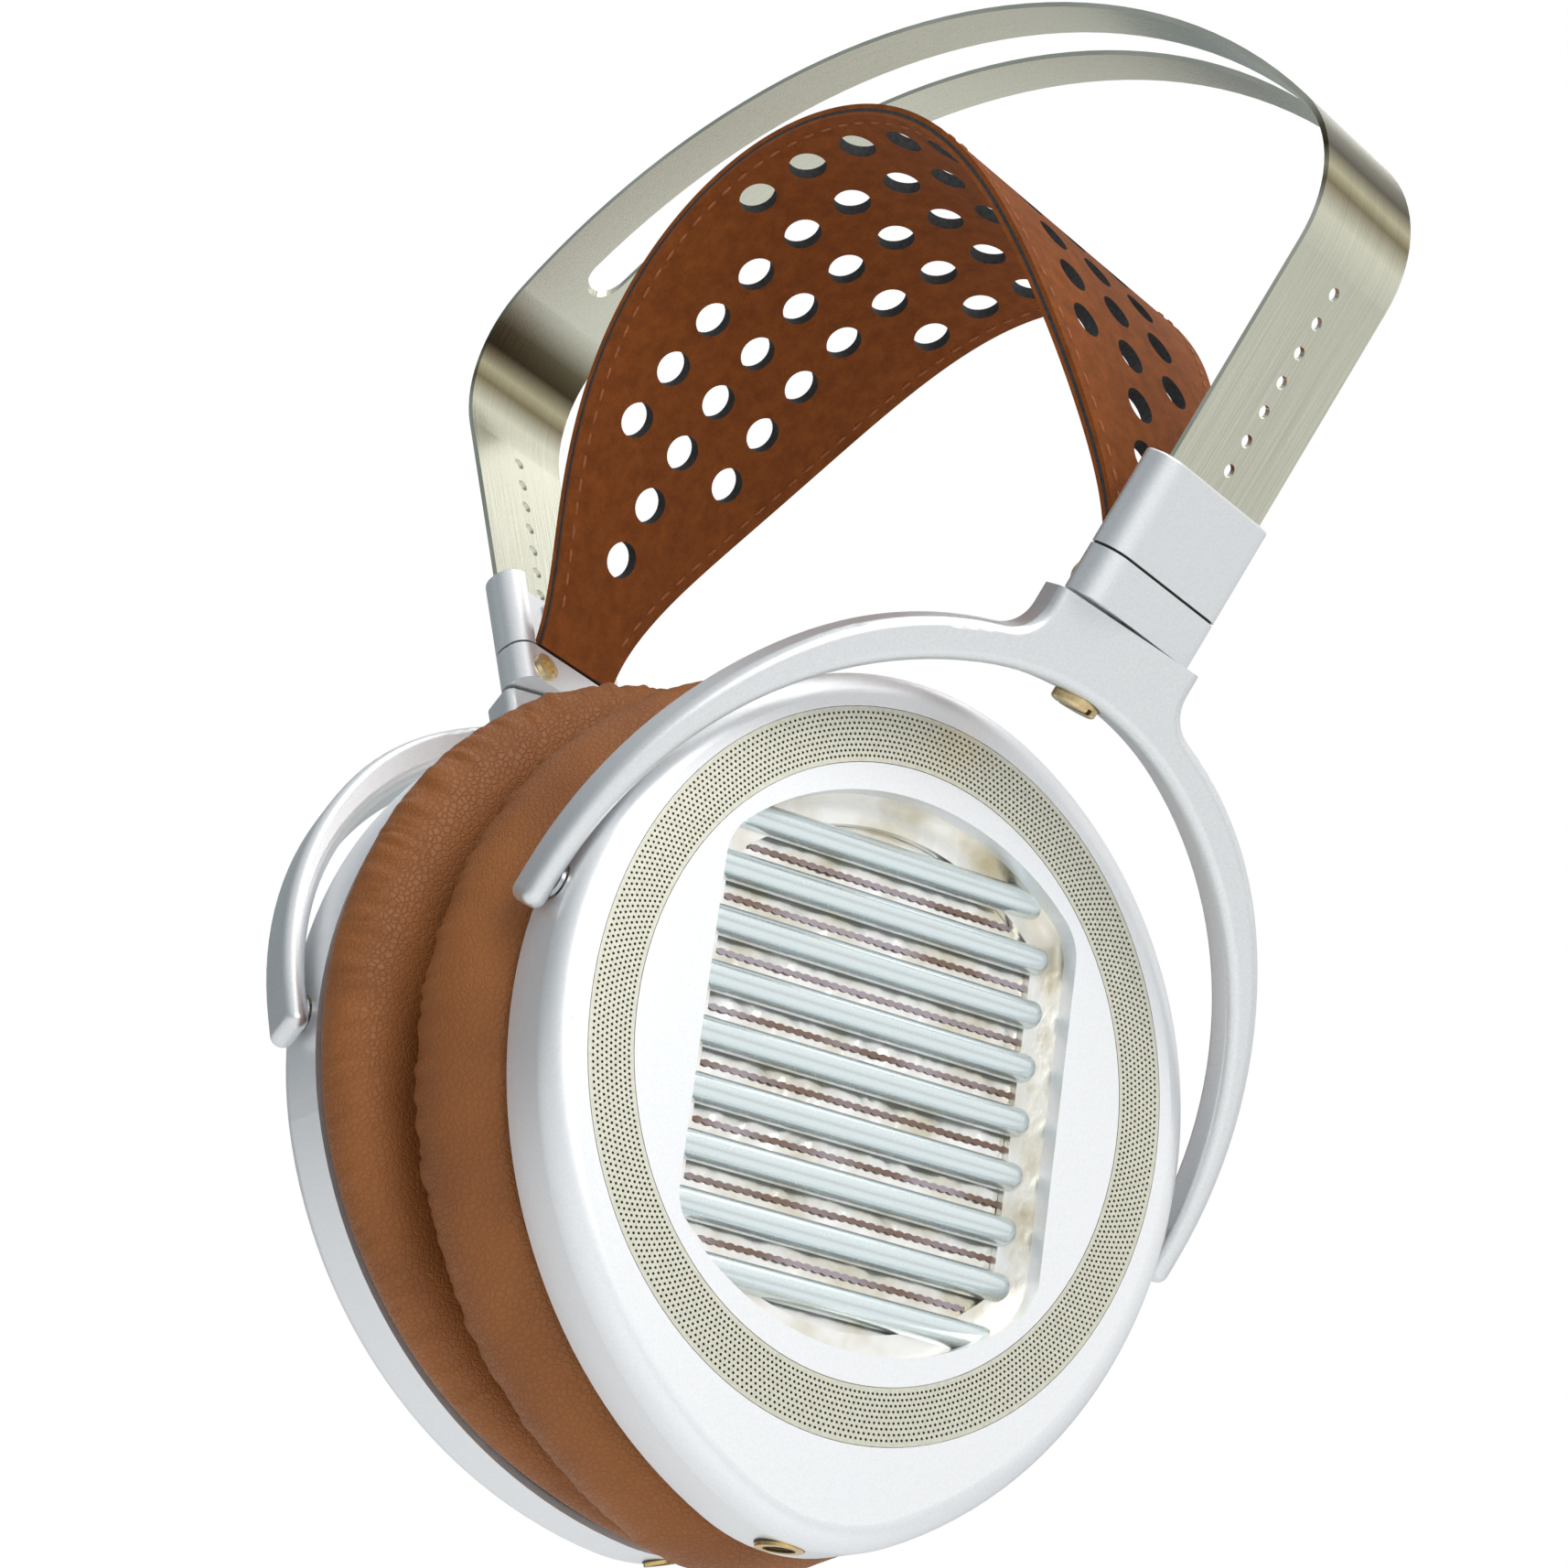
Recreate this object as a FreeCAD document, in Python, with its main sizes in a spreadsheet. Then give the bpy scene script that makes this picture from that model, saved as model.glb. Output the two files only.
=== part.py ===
"""Open-back over-ear headphones: spring-steel band, suspension strap, two sliding yokes and two cups.

Frame: millimetres, +Z up, +Y towards the wearer's face, +X towards the wearer's right ear.
The origin is midway between the two cups, level with their feet.

Local frames, each with x pointing away from the head, y forwards and z up:
  stem frame  z along the straight side of the band, origin level with the cup pivots
  yoke frame  the stem frame turned about the swivel bolt
  face frame  the yoke frame leaned back to the cup's plane and turned in that plane
Every side piece is drawn once, in its local frame, for the right ear, and mirrored for the left.
"""
import FreeCAD, Part
import math
import os

from FreeCAD import Placement, Rotation, Vector

doc = FreeCAD.newDocument("headphones")
sheet = doc.addObject("Spreadsheet::Sheet", "Dimensions")

DIMENSIONS = {
    # band
    "band_width": 20.6, "band_sheet": 0.8, "bend_radius": 20.4, "crown_half_angle": 45.0,
    "splay": 26.2, "pivot_half_span": 22.98, "pivot_level": 65.98, "side_start": 125.5, "band_end": 83.2, "crown_slot": 6.3, "crown_slot_half_length": 70.0,
    "index_hole_dia": 1.9, "index_pitch": 4.67, "index_first": 122.6,
    # strap
    "strap_thick": 2.6, "strap_mid_width": 58.0, "strap_end_width": 16.0,
    # slider blocks
    "block_out": 2.3, "block_in": 4.7, "block_half_width": 12.2, "block_corner": 3.0,
    "channel_floor": 2.0, "channel_half_width": 9.2,
    "block_top": 91.0, "upper_foot": 76.4, "lower_top": 76.0, "lower_foot": 69.1,
    "slot_play": 0.15, "swivel_in": 2.4, "bolt_radius": 1.25, "bolt_play": 0.05,
    "bolt_head_radius": 3.4, "washer_thick": 0.3,
    # yoke
    "stem_top": 68.7, "stem_half_width": 12.3, "arm_tip": 4.7,
    "arch_half": 55.3, "arch_top": 63.0, "arch_side_radius": 70.0,
    "arch_in_half": 51.9, "arch_in_top": 57.6, "arch_in_side_radius": 59.1,
    "pivot_out": 1.4, "pin_radius": 1.5, "pin_play": 0.04,
    # cup
    "cup_half_width": 50.6, "cup_top": 55.5, "cup_shoulder_radius": 57.0, "cup_side_radius": 68.0,
    "cup_foot_radius": 27.0,
    "face_out": 7.0, "rim_depth": 11.5, "cup_wall": 2.4, "face_thick": 3.0, "rim_round": 3.5,
    "ring_half_width": 45.1, "ring_half_height": 50.0, "ring_in_half_width": 38.4,
    "ring_in_half_height": 42.3, "ring_thick": 0.5, "window_radius": 38.2,
    "window_half_width": 28.4, "window_corner": 8.0, "bar_pitch": 7.7, "bar_width": 4.2, "bar_height": 3.0,
    "bar_half_length": 27.3, "frame_half_width": 42.5, "frame_half_height": 46.5,
    "pad_thick": 8.2, "pad_mouth_half_width": 27.0, "pad_mouth_half_height": 34.0,
    "socket_radius": 3.4, "socket_bore": 1.8, "socket_length": 15.0,
    # fixed pieces sit in bores this much larger in radius
    "seat_play": 0.02,
    # rest pose
    "rest_swivel": 19.1, "cup_lean": 23.7, "cup_cant": 13.9,
    # where the cup's centre lies from the pivot axis, in the cup's own plane
    "cup_aft": 0.8, "cup_drop": 1.8,
}
for row, (alias, value) in enumerate(DIMENSIONS.items(), start=1):
    sheet.set(f"A{row}", alias)
    sheet.set(f"B{row}", str(value))
    sheet.setAlias(f"B{row}", alias)
doc.recompute()

SEAT = " + Dimensions.seat_play"
BARS = 9            # magnet bars across each window
INDEX_HOLES = 9     # click holes on each straight side of the band


def dim(alias):
    """A driving dimension, read from the sheet."""
    return float(sheet.get(alias))


def cell(alias):
    return f"Dimensions.{alias}"


# ---------------------------------------------------------------- sketch outlines

FLAT = Vector(0, 0, 0)


def line(a, b):
    return Part.LineSegment(Vector(a[0], a[1], 0), Vector(b[0], b[1], 0))


def polygon(points):
    return [line(a, b) for a, b in zip(points, points[1:] + points[:1])]


def circle(x, y, radius):
    return Part.Circle(Vector(x, y, 0), Vector(0, 0, 1), radius)


def arc(cx, cy, radius, start, end):
    """An arc about (cx, cy) from start to end, in degrees, anticlockwise."""
    return Part.ArcOfCircle(circle(cx, cy, radius), math.radians(start), math.radians(end))


def ellipse(half_width, half_height):
    """An upright or a wide ellipse about the origin."""
    if half_height > half_width:
        return Part.Ellipse(Vector(0, half_height, 0), Vector(-half_width, 0, 0), FLAT)
    return Part.Ellipse(Vector(half_width, 0, 0), Vector(0, half_height, 0), FLAT)


def rounded_box(x0, x1, y0, y1, radius):
    """A rectangle with round corners."""
    r = radius
    return [
        line((x0 + r, y0), (x1 - r, y0)), arc(x1 - r, y0 + r, r, -90, 0),
        line((x1, y0 + r), (x1, y1 - r)), arc(x1 - r, y1 - r, r, 0, 90),
        line((x1 - r, y1), (x0 + r, y1)), arc(x0 + r, y1 - r, r, 90, 180),
        line((x0, y1 - r), (x0, y0 + r)), arc(x0 + r, y0 + r, r, 180, 270),
    ]


def crown_radius(half_width, height, side):
    """The radius of a crown's top arc, where it runs smoothly into side arcs of this radius."""
    return (side ** 2 - (side - half_width) ** 2 - height ** 2) / (2 * (side - height))


def crown(half_width, height, side):
    """A half oval above the y axis, of two side arcs and a top arc that meet smoothly."""
    top = crown_radius(half_width, height, side)
    shift = side - half_width
    turn = math.degrees(math.atan2(height - top, shift))
    return [
        arc(-shift, 0, side, 0, turn),
        arc(0, height - top, top, turn, 180 - turn),
        arc(shift, 0, side, 180 - turn, 180),
    ]


def egg(inset=0.0):
    """The cup's outline: a crown above, long side arcs below, and a small foot arc."""
    a = dim("cup_half_width") - inset
    top = dim("cup_top") - inset
    side = dim("cup_side_radius") - inset
    foot = dim("cup_foot_radius") - inset
    centre = side - a                       # how far each side arc's centre is past the middle
    drop = math.sqrt((side - foot) ** 2 - centre ** 2)
    touch = math.degrees(math.atan2(drop, centre))
    return crown(a, top, dim("cup_shoulder_radius") - inset) + [
        arc(centre, 0, side, 180, 180 + touch),
        arc(0, -drop, foot, 180 + touch, 360 - touch),
        arc(-centre, 0, side, 360 - touch, 360),
    ]


def cup_foot():
    """How far the cup's outline reaches below its centre."""
    side, foot = dim("cup_side_radius"), dim("cup_foot_radius")
    return foot + math.sqrt((side - foot) ** 2 - (side - dim("cup_half_width")) ** 2)


def window(inset=0.0):
    """A round opening with straight, upright sides and soft corners."""
    r = dim("window_radius") - inset
    w = dim("window_half_width") - inset
    corner = dim("window_corner") - inset
    y = w - corner
    z = math.sqrt((r - corner) ** 2 - y ** 2)
    up = math.degrees(math.atan2(z, y))
    return [
        line((w, -z), (w, z)), arc(y, z, corner, 0, up),
        arc(0, 0, r, up, 180 - up), arc(-y, z, corner, 180 - up, 180),
        line((-w, z), (-w, -z)), arc(-y, -z, corner, 180, 180 + up),
        arc(0, 0, r, 180 + up, 360 - up), arc(y, -z, corner, 360 - up, 360),
    ]


# ---------------------------------------------------------------- bodies and features

def new_body(name):
    body = doc.addObject("PartDesign::Body", name)
    body.Label = name
    body.AllowCompound = True
    return body


def new_sketch(body, plane, shapes, offset=0.0):
    """A sketch on one of the body's own origin planes, lifted along that plane's normal."""
    sketch = body.newObject("Sketcher::SketchObject", body.Name + "_sketch")
    origin = [f for f in body.Origin.OriginFeatures if f.Role == plane][0]
    sketch.AttachmentSupport = [(origin, "")]
    sketch.MapMode = "FlatFace"
    sketch.AttachmentOffset = Placement(Vector(0, 0, offset), Rotation())
    sketch.addGeometry(shapes, False)
    return sketch


def pad(body, sketch, length, midplane=False):
    """Add material; length is a number or an expression."""
    feature = body.newObject("PartDesign::Pad", body.Name + "_pad")
    feature.Profile = sketch
    feature.Midplane = midplane
    set_length(feature, length)
    doc.recompute()
    return feature


def pocket(body, sketch, length, midplane=False, flip=False):
    """Remove material and make sure that some went."""
    before = body.Shape.Volume
    feature = body.newObject("PartDesign::Pocket", body.Name + "_pocket")
    feature.Profile = sketch
    feature.Midplane = midplane
    feature.Reversed = flip
    set_length(feature, length)
    doc.recompute()
    if not body.Shape.Volume < before - 1e-6:
        raise ValueError(f"{body.Name}: a pocket cut nothing")
    return feature


def set_length(feature, length):
    if isinstance(length, str):
        feature.setExpression("Length", length)
    else:
        feature.Length = length


def round_edges(body, radius, chosen):
    """Fillet the edges of the body's tip that the test picks."""
    tip = body.Tip
    names = [f"Edge{i}" for i, e in enumerate(tip.Shape.Edges, start=1) if chosen(e)]
    if not names:
        raise ValueError(f"{body.Name}: no edge to round")
    feature = body.newObject("PartDesign::Fillet", body.Name + "_fillet")
    feature.Base = (tip, names)
    feature.Radius = radius
    doc.recompute()
    return feature


def cylinder(name, radius, height, base, direction):
    """A Part cylinder whose radius and height follow the sheet."""
    obj = doc.addObject("Part::Cylinder", name)
    obj.Label = name
    obj.Placement = Placement(Vector(*base), Rotation(Vector(0, 0, 1), Vector(*direction)))
    for prop, value in (("Radius", radius), ("Height", height)):
        if isinstance(value, str):
            obj.setExpression(prop, value)
        else:
            setattr(obj, prop, value)
    return obj


def box(name, corner, x, y, z):
    """A Part box from its lowest corner."""
    obj = doc.addObject("Part::Box", name)
    obj.Length = x
    obj.Width = y
    obj.Height = z
    obj.Placement = Placement(corner, Rotation())
    return obj


def tube(name, outer, inner, height, base, direction):
    """A tube: one cylinder cut from another."""
    return cut(name, cylinder(name + "_outside", outer, height, base, direction),
               [cylinder(name + "_bore", inner, height, base, direction)])


def cut(name, base, tools):
    """Base minus tools."""
    tool = tools[0]
    if len(tools) > 1:
        tool = doc.addObject("Part::MultiFuse", name + "_tools")
        tool.Shapes = tools
    obj = doc.addObject("Part::Cut", name)
    obj.Label = name
    obj.Base = base
    obj.Tool = tool
    doc.recompute()
    if not obj.Shape.Volume < base.Shape.Volume - 1e-6:
        raise ValueError(f"{name}: a cut removed nothing")
    return obj


def fuse(name, base, tool):
    """Two shapes made one."""
    obj = doc.addObject("Part::Fuse", name)
    obj.Base = base
    obj.Tool = tool
    return obj


def group(name, members):
    """Several like pieces in one node."""
    obj = doc.addObject("Part::Compound", name)
    obj.Label = name
    obj.Links = members
    doc.recompute()
    return obj


def plate(name, shapes, low, thickness):
    """A flat piece in the y-z plane, from x = low outwards."""
    body = new_body(name)
    pad(body, new_sketch(body, "YZ_Plane", shapes, low), thickness)
    return body


# ---------------------------------------------------------------- band and strap

SPLAY = math.radians(dim("splay"))
PIVOT = Vector(dim("pivot_half_span"), 0, dim("pivot_level"))
STEM_UP = Vector(math.sin(SPLAY), 0, math.cos(SPLAY))
STEM_OUT = Vector(math.cos(SPLAY), 0, -math.sin(SPLAY))


def stem_point(out, up):
    """A point of the right stem frame's middle plane, in the object's frame."""
    return PIVOT + STEM_OUT * out + STEM_UP * up


def band_outline():
    """The band's side view: a crown arc, a tight bend and a straight side, twice, with thickness."""
    half = dim("band_sheet") / 2
    bend = dim("bend_radius")
    turn = dim("crown_half_angle")
    start = stem_point(0, dim("side_start"))
    bend_centre = start - STEM_OUT * bend
    reach = bend_centre.x / math.sin(math.radians(turn))
    crown = bend + reach
    crown_z = bend_centre.z - reach * math.cos(math.radians(turn))
    splay = dim("splay")
    shapes = []
    for side in (half, -half):
        shapes.append(arc(0, crown_z, crown + side, 90 - turn, 90 + turn))
        shapes.append(arc(bend_centre.x, bend_centre.z, bend + side, -splay, 90 - turn))
        shapes.append(arc(-bend_centre.x, bend_centre.z, bend + side, 90 + turn, 180 + splay))
    foot = dim("band_end")
    for mirror in (1, -1):
        ends = []
        for side in (half, -half):
            high = stem_point(side, dim("side_start"))
            low = stem_point(side, foot)
            shapes.append(line((mirror * high.x, high.z), (mirror * low.x, low.z)))
            ends.append((mirror * low.x, low.z))
        shapes.append(line(ends[0], ends[1]))
    return shapes


def make_band():
    body = new_body("band_blank")
    pad(body, new_sketch(body, "XZ_Plane", band_outline()), cell("band_width"), midplane=True)
    half, length = dim("crown_slot") / 2, dim("crown_slot_half_length")
    slot = rounded_box(-length, length, -half, half, half - 0.01)
    crown_level = PIVOT.z + 100.0
    pocket(body, new_sketch(body, "XY_Plane", slot, crown_level), 100.0, flip=True)
    holes = []
    for index in range(INDEX_HOLES):
        up = dim("index_first") - index * dim("index_pitch")
        for mirror in (1, -1):
            base = stem_point(-3, up)
            holes.append(cylinder(
                f"index_hole_{index}_{'right' if mirror > 0 else 'left'}",
                cell("index_hole_dia") + " / 2", 6.0,
                (mirror * base.x, 0, base.z), (mirror * STEM_OUT.x, 0, STEM_OUT.z)))
    return cut("headband_spring", body, holes)


# The strap's side view is a Bezier curve from the crown's middle to the slider block.
STRAP_CROWN_Z = PIVOT.z + 141.3
STRAP_CURVE = [
    Vector(0, 0, STRAP_CROWN_Z), Vector(28.9, 0, STRAP_CROWN_Z),
    Vector(48.5, 0, PIVOT.z + 103.6), stem_point(-4.1, 77.1),
]
STRAP_SHIFT = 3.0          # how far the strap's crown hangs forward of the band
STRAP_HUNG_END = 0.845     # where the hung part ends, as a share of the half length
STRAP_TAIL_START = 0.915   # where the clamped tail begins


def bezier(t):
    a, b, c, d = STRAP_CURVE
    s = 1 - t
    return a * s ** 3 + b * (3 * s * s * t) + c * (3 * s * t * t) + d * t ** 3


STRAP_STEPS = 200
STRAP_LENGTHS = [0.0]
for step in range(STRAP_STEPS):
    chord = bezier((step + 1) / STRAP_STEPS) - bezier(step / STRAP_STEPS)
    STRAP_LENGTHS.append(STRAP_LENGTHS[-1] + chord.Length)


def strap_parameter(share):
    """The curve's parameter at a share of its length."""
    target = share * STRAP_LENGTHS[-1]
    index = max(i for i in range(STRAP_STEPS) if STRAP_LENGTHS[i] <= target)
    low, high = STRAP_LENGTHS[index], STRAP_LENGTHS[index + 1]
    return (index + (target - low) / (high - low)) / STRAP_STEPS


def strap_width(share):
    """Full over the crown, then drawn in smoothly to the block."""
    wide, narrow = dim("strap_mid_width"), dim("strap_end_width")
    fall = share ** (1.3 + 0.7 * share)
    return narrow + (wide - narrow) * (0.5 + 0.5 * math.cos(math.pi * fall))


def strap_shift(share):
    """Forward at the crown, and centred before the strap enters its block."""
    return STRAP_SHIFT * (1 - min(share / STRAP_HUNG_END, 1.0) ** 2) ** 2


def strap_section(share, mirror):
    """The strap's rectangular section, square to its curve."""
    t = strap_parameter(share)
    point = bezier(t) + Vector(0, strap_shift(share), 0)
    along = bezier(min(t + 0.01, 1.0)) - bezier(max(t - 0.01, 0.0))
    across = Vector(along.z, 0, -along.x).normalize() * (dim("strap_thick") / 2)
    half = Vector(0, strap_width(share) / 2, 0)
    corners = [
        point + across - half, point + across + half,
        point - across + half, point - across - half,
    ]
    corners = [Vector(mirror * c.x, c.y, c.z) for c in corners]
    return Part.makePolygon(corners + corners[:1])


def make_strap():
    """The hung part of the strap, a tapered curved sheet that no primitive makes."""
    steps = 12
    shares = [STRAP_HUNG_END * i / steps for i in range(steps + 1)]
    sections = [strap_section(share, -1) for share in reversed(shares)]
    sections += [strap_section(share, 1) for share in shares[1:]]
    obj = doc.addObject("Part::Feature", "head_strap")
    obj.Shape = Part.makeLoft(sections, True, True)
    obj.Label = "head_strap"
    return obj


def make_strap_tail():
    """The strap's end, seated in the slider block's channel, in the stem frame."""
    steps = 3
    span = 1 - STRAP_TAIL_START
    sections = [strap_section(STRAP_TAIL_START + span * i / steps, 1) for i in range(steps + 1)]
    shape = Part.makeLoft(sections, True, True)
    obj = doc.addObject("Part::Feature", "strap_tail_form")
    obj.Shape = shape.transformGeometry(stem_placement(1).inverse().toMatrix())
    return obj


# ---------------------------------------------------------------- slider blocks, stem frame

def block_section():
    return rounded_box(-dim("block_in"), dim("block_out"),
                       -dim("block_half_width"), dim("block_half_width"), dim("block_corner"))


def band_slot():
    """The slot that the band's end slides in."""
    play = dim("slot_play")
    half = dim("band_sheet") / 2 + play
    width = dim("band_width") / 2 + play
    return polygon([(-half, -width), (half, -width), (half, width), (-half, width)])


DETENT_UP = dim("index_first") - (INDEX_HOLES - 1) * dim("index_pitch")
DETENT_RADIUS = 0.7
DETENT_GAP = 0.05        # between the click ball and the band's face
LEAF_THICK = 0.25


def make_upper_block():
    body = new_body("upper_block_blank")
    foot = dim("upper_foot")
    height = cell("block_top") + " - " + cell("upper_foot")
    pad(body, new_sketch(body, "XY_Plane", block_section(), foot), height)
    round_edges(body, 0.4, lambda e: all(abs(v.Z - dim("block_top")) < 1e-3 for v in e.Vertexes))
    pocket(body, new_sketch(body, "XY_Plane", band_slot(), foot), 50.0, flip=True)
    half = dim("channel_half_width")
    floor = -dim("channel_floor")
    channel = polygon([(-10, -half), (floor, -half), (floor, half), (-10, half)])
    pocket(body, new_sketch(body, "XY_Plane", channel, foot), 50.0, flip=True)
    bore = cylinder("detent_bore", DETENT_RADIUS + dim("seat_play"), dim("channel_floor"),
                    (floor - 0.1, 0, DETENT_UP), (1, 0, 0))
    return cut("upper_block_form", body, [bore])


def make_lower_block():
    body = new_body("lower_block_blank")
    foot = dim("lower_foot")
    height = cell("lower_top") + " - " + cell("lower_foot")
    pad(body, new_sketch(body, "XY_Plane", block_section(), foot), height)
    pocket(body, new_sketch(body, "XY_Plane", band_slot(), foot), 50.0, flip=True)
    bolt = cylinder("lower_bolt_bore", cell("bolt_radius") + SEAT, 5.4,
                    (-dim("swivel_in"), 0, foot - 0.1), (0, 0, 1))
    screw = cylinder("lower_screw_bore", CLAMP_SHANK + dim("seat_play"), 3.0,
                     (-dim("block_in") - 0.1, CLAMP_Y, CLAMP_UP), (1, 0, 0))
    return cut("lower_block_form", body, [bolt, screw])


def inset_section(inset):
    return rounded_box(-dim("block_in") + inset, dim("block_out") - inset,
                       -dim("block_half_width") + inset, dim("block_half_width") - inset,
                       dim("block_corner") - inset)


def make_seam_shim():
    """A dark shim between the blocks, set in a little so that it reads as a shadow gap."""
    body = new_body("seam_shim_form")
    foot = dim("lower_top")
    pad(body, new_sketch(body, "XY_Plane", inset_section(0.35), foot),
        cell("upper_foot") + " - " + cell("lower_top"))
    pocket(body, new_sketch(body, "XY_Plane", band_slot(), foot), 50.0, flip=True)
    return body


def make_swivel_washer():
    """A friction washer under the lower block, fixed to it."""
    foot = dim("lower_foot")
    outside = cylinder("washer_outside", 2.0, cell("washer_thick"),
                       (-dim("swivel_in"), 0, foot - dim("washer_thick")), (0, 0, 1))
    bore = cylinder("washer_bore", cell("bolt_radius") + SEAT, cell("washer_thick"),
                    (-dim("swivel_in"), 0, foot - dim("washer_thick")), (0, 0, 1))
    return cut("swivel_washer_form", outside, [bore])


BOLT_TIP_UP = 74.0
HEAD_THICK = 1.6
HEAD_GAP = 0.06
HEAD_SEAT = 57.8           # the flat seat cut under the arch for the bolt's head
CLAMP_Y = -8.0
CLAMP_UP = 72.0
CLAMP_SHANK = 1.0


def make_swivel_bolt():
    """The brass bolt that the yoke turns on: a slotted pan head under the arch and a plain shank."""
    body = new_body("swivel_bolt_form")
    x = -dim("swivel_in")
    head_top = HEAD_SEAT - HEAD_GAP
    head_foot = head_top - HEAD_THICK
    pad(body, new_sketch(body, "XY_Plane", [circle(x, 0, dim("bolt_head_radius"))], head_foot),
        HEAD_THICK)
    round_edges(body, 0.5, lambda e: abs(e.BoundBox.ZMax - head_foot) < 1e-3)
    pad(body, new_sketch(body, "XY_Plane", [circle(x, 0, dim("bolt_radius"))], head_top - 0.1),
        BOLT_TIP_UP - head_top + 0.1)
    slot = polygon([(x - 5, -0.4), (x + 5, -0.4), (x + 5, 0.4), (x - 5, 0.4)])
    pocket(body, new_sketch(body, "XY_Plane", slot, head_foot), 0.8, flip=True)
    return body


def make_clamp_screw():
    """The brass eyelet screw on the lower block's inner face."""
    body = new_body("clamp_screw_form")
    face = -dim("block_in")
    pad(body, new_sketch(body, "YZ_Plane", [circle(CLAMP_Y, CLAMP_UP, 2.2)], face - 0.7), 0.7)
    pad(body, new_sketch(body, "YZ_Plane", [circle(CLAMP_Y, CLAMP_UP, CLAMP_SHANK)], face - 0.1), 2.9)
    pocket(body, new_sketch(body, "YZ_Plane", [circle(CLAMP_Y, CLAMP_UP, 1.3)], face - 0.7), 0.5,
           flip=True)
    return body


def make_detent_ball():
    """The click ball, opposite one of the band's index holes."""
    ball = doc.addObject("Part::Sphere", "detent_ball_form")
    ball.Radius = DETENT_RADIUS
    centre = -dim("band_sheet") / 2 - DETENT_GAP - DETENT_RADIUS
    ball.Placement = Placement(Vector(centre, 0, DETENT_UP), Rotation())
    return ball


def make_detent_leaf():
    """The flat spring behind the click ball, on the channel's floor."""
    floor = -dim("channel_floor")
    outline = rounded_box(-2.5, 2.5, DETENT_UP - 4, DETENT_UP + 5, 1.0)
    return plate("detent_leaf_form", outline, floor - LEAF_THICK, LEAF_THICK)


# ---------------------------------------------------------------- yoke, yoke frame
# The yoke frame's z axis is the swivel bolt. Across it, x is measured from the bolt.

def stem_span():
    """The stem's inner and outer faces, measured from the bolt."""
    return -dim("block_in") + dim("swivel_in"), dim("block_out") + dim("swivel_in")


def make_yoke():
    """An arch with two arms and, above it, the stem that the bolt runs through."""
    body = new_body("yoke_blank")
    inside, outside = stem_span()
    outer = dim("arch_half")
    inner = dim("arch_in_half")
    tip_radius = (outer - inner) / 2
    leg = dim("arm_tip") - tip_radius
    outline = crown(outer, dim("arch_top"), dim("arch_side_radius"))
    outline += crown(inner, dim("arch_in_top"), dim("arch_in_side_radius"))
    for side in (1, -1):
        outline.append(line((side * outer, 0), (side * outer, -leg)))
        outline.append(line((side * inner, 0), (side * inner, -leg)))
        outline.append(arc(side * (outer - tip_radius), -leg, tip_radius, 180, 360))
    pad(body, new_sketch(body, "YZ_Plane", outline, inside), outside - inside)
    half = dim("stem_half_width")
    foot = dim("arch_in_top") + 1
    top = dim("stem_top")
    stem = polygon([(-half, foot), (half, foot), (half, top), (-half, top)])
    pad(body, new_sketch(body, "YZ_Plane", stem, inside), outside - inside)
    round_edges(body, STEM_FILLET, lambda e: abs(abs(e.CenterOfMass.y) - half) < 0.05
                and e.BoundBox.ZLength < 0.01 and 58 < e.CenterOfMass.z < 66)
    round_edges(body, ARM_ROUND, on_outer_edge)
    return body


STEM_FILLET = 5.5
ARM_ROUND = 1.5


def on_outer_edge(edge):
    """Whether an edge runs along the outside of the arch or one of its arms."""
    if edge.BoundBox.XLength > 0.01:
        return False
    if isinstance(edge.Curve, Part.Circle):
        side = dim("arch_side_radius")
        top = crown_radius(dim("arch_half"), dim("arch_top"), side)
        return min(abs(edge.Curve.Radius - side), abs(edge.Curve.Radius - top)) < 0.01
    return abs(abs(edge.CenterOfMass.y) - dim("arch_half")) < 0.01


def finish_yoke(body):
    """Bore the yoke for its bolt and its pivot pins."""
    bolt = cylinder("yoke_bolt_bore", cell("bolt_radius") + " + " + cell("bolt_play"), 40.0,
                    (0, 0, 40.0), (0, 0, 1))
    seat = cylinder("yoke_head_seat", cell("bolt_head_radius") + " + 0.4", HEAD_SEAT - 40.0,
                    (0, 0, 40.0), (0, 0, 1))
    pins = [cylinder(f"yoke_pin_bore_{k}", cell("pin_radius") + SEAT, PIN_OUTER - 45.0,
                     (dim("pivot_out"), 45.0 * k, 0), (0, k, 0)) for k in (1, -1)]
    return cut("yoke_form", body, [bolt, seat] + pins)


PIN_INNER = 46.5
PIN_OUTER = 54.0


def make_pivot_pins():
    """Two shouldered pins, one in each arm, in the yoke frame."""
    pins = []
    for k in (1, -1):
        x = dim("pivot_out")
        shank = cylinder(f"pin_shank_{k}", cell("pin_radius"), PIN_OUTER - PIN_INNER,
                         (x, PIN_INNER * k, 0), (0, k, 0))
        collar = cylinder(f"pin_collar_{k}", 2.3, 0.55,
                          (x, (dim("arch_in_half") - 0.6) * k, 0), (0, k, 0))
        pins.append(fuse(f"pin_{k}", shank, collar))
    return group("pivot_pins_form", pins)


# ---------------------------------------------------------------- cup, face frame

CANT = math.radians(dim("cup_cant"))
SOCKET_X = 0.3
SOCKET_Y = -2.5


PIVOT_LINE = Vector(0, math.cos(CANT), -math.sin(CANT))     # the pivot axis's direction


def on_pivot_axis(distance):
    """A point of the pivot axis in the face frame."""
    return Vector(0, dim("cup_aft"), dim("cup_drop")) + PIVOT_LINE * distance


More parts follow.
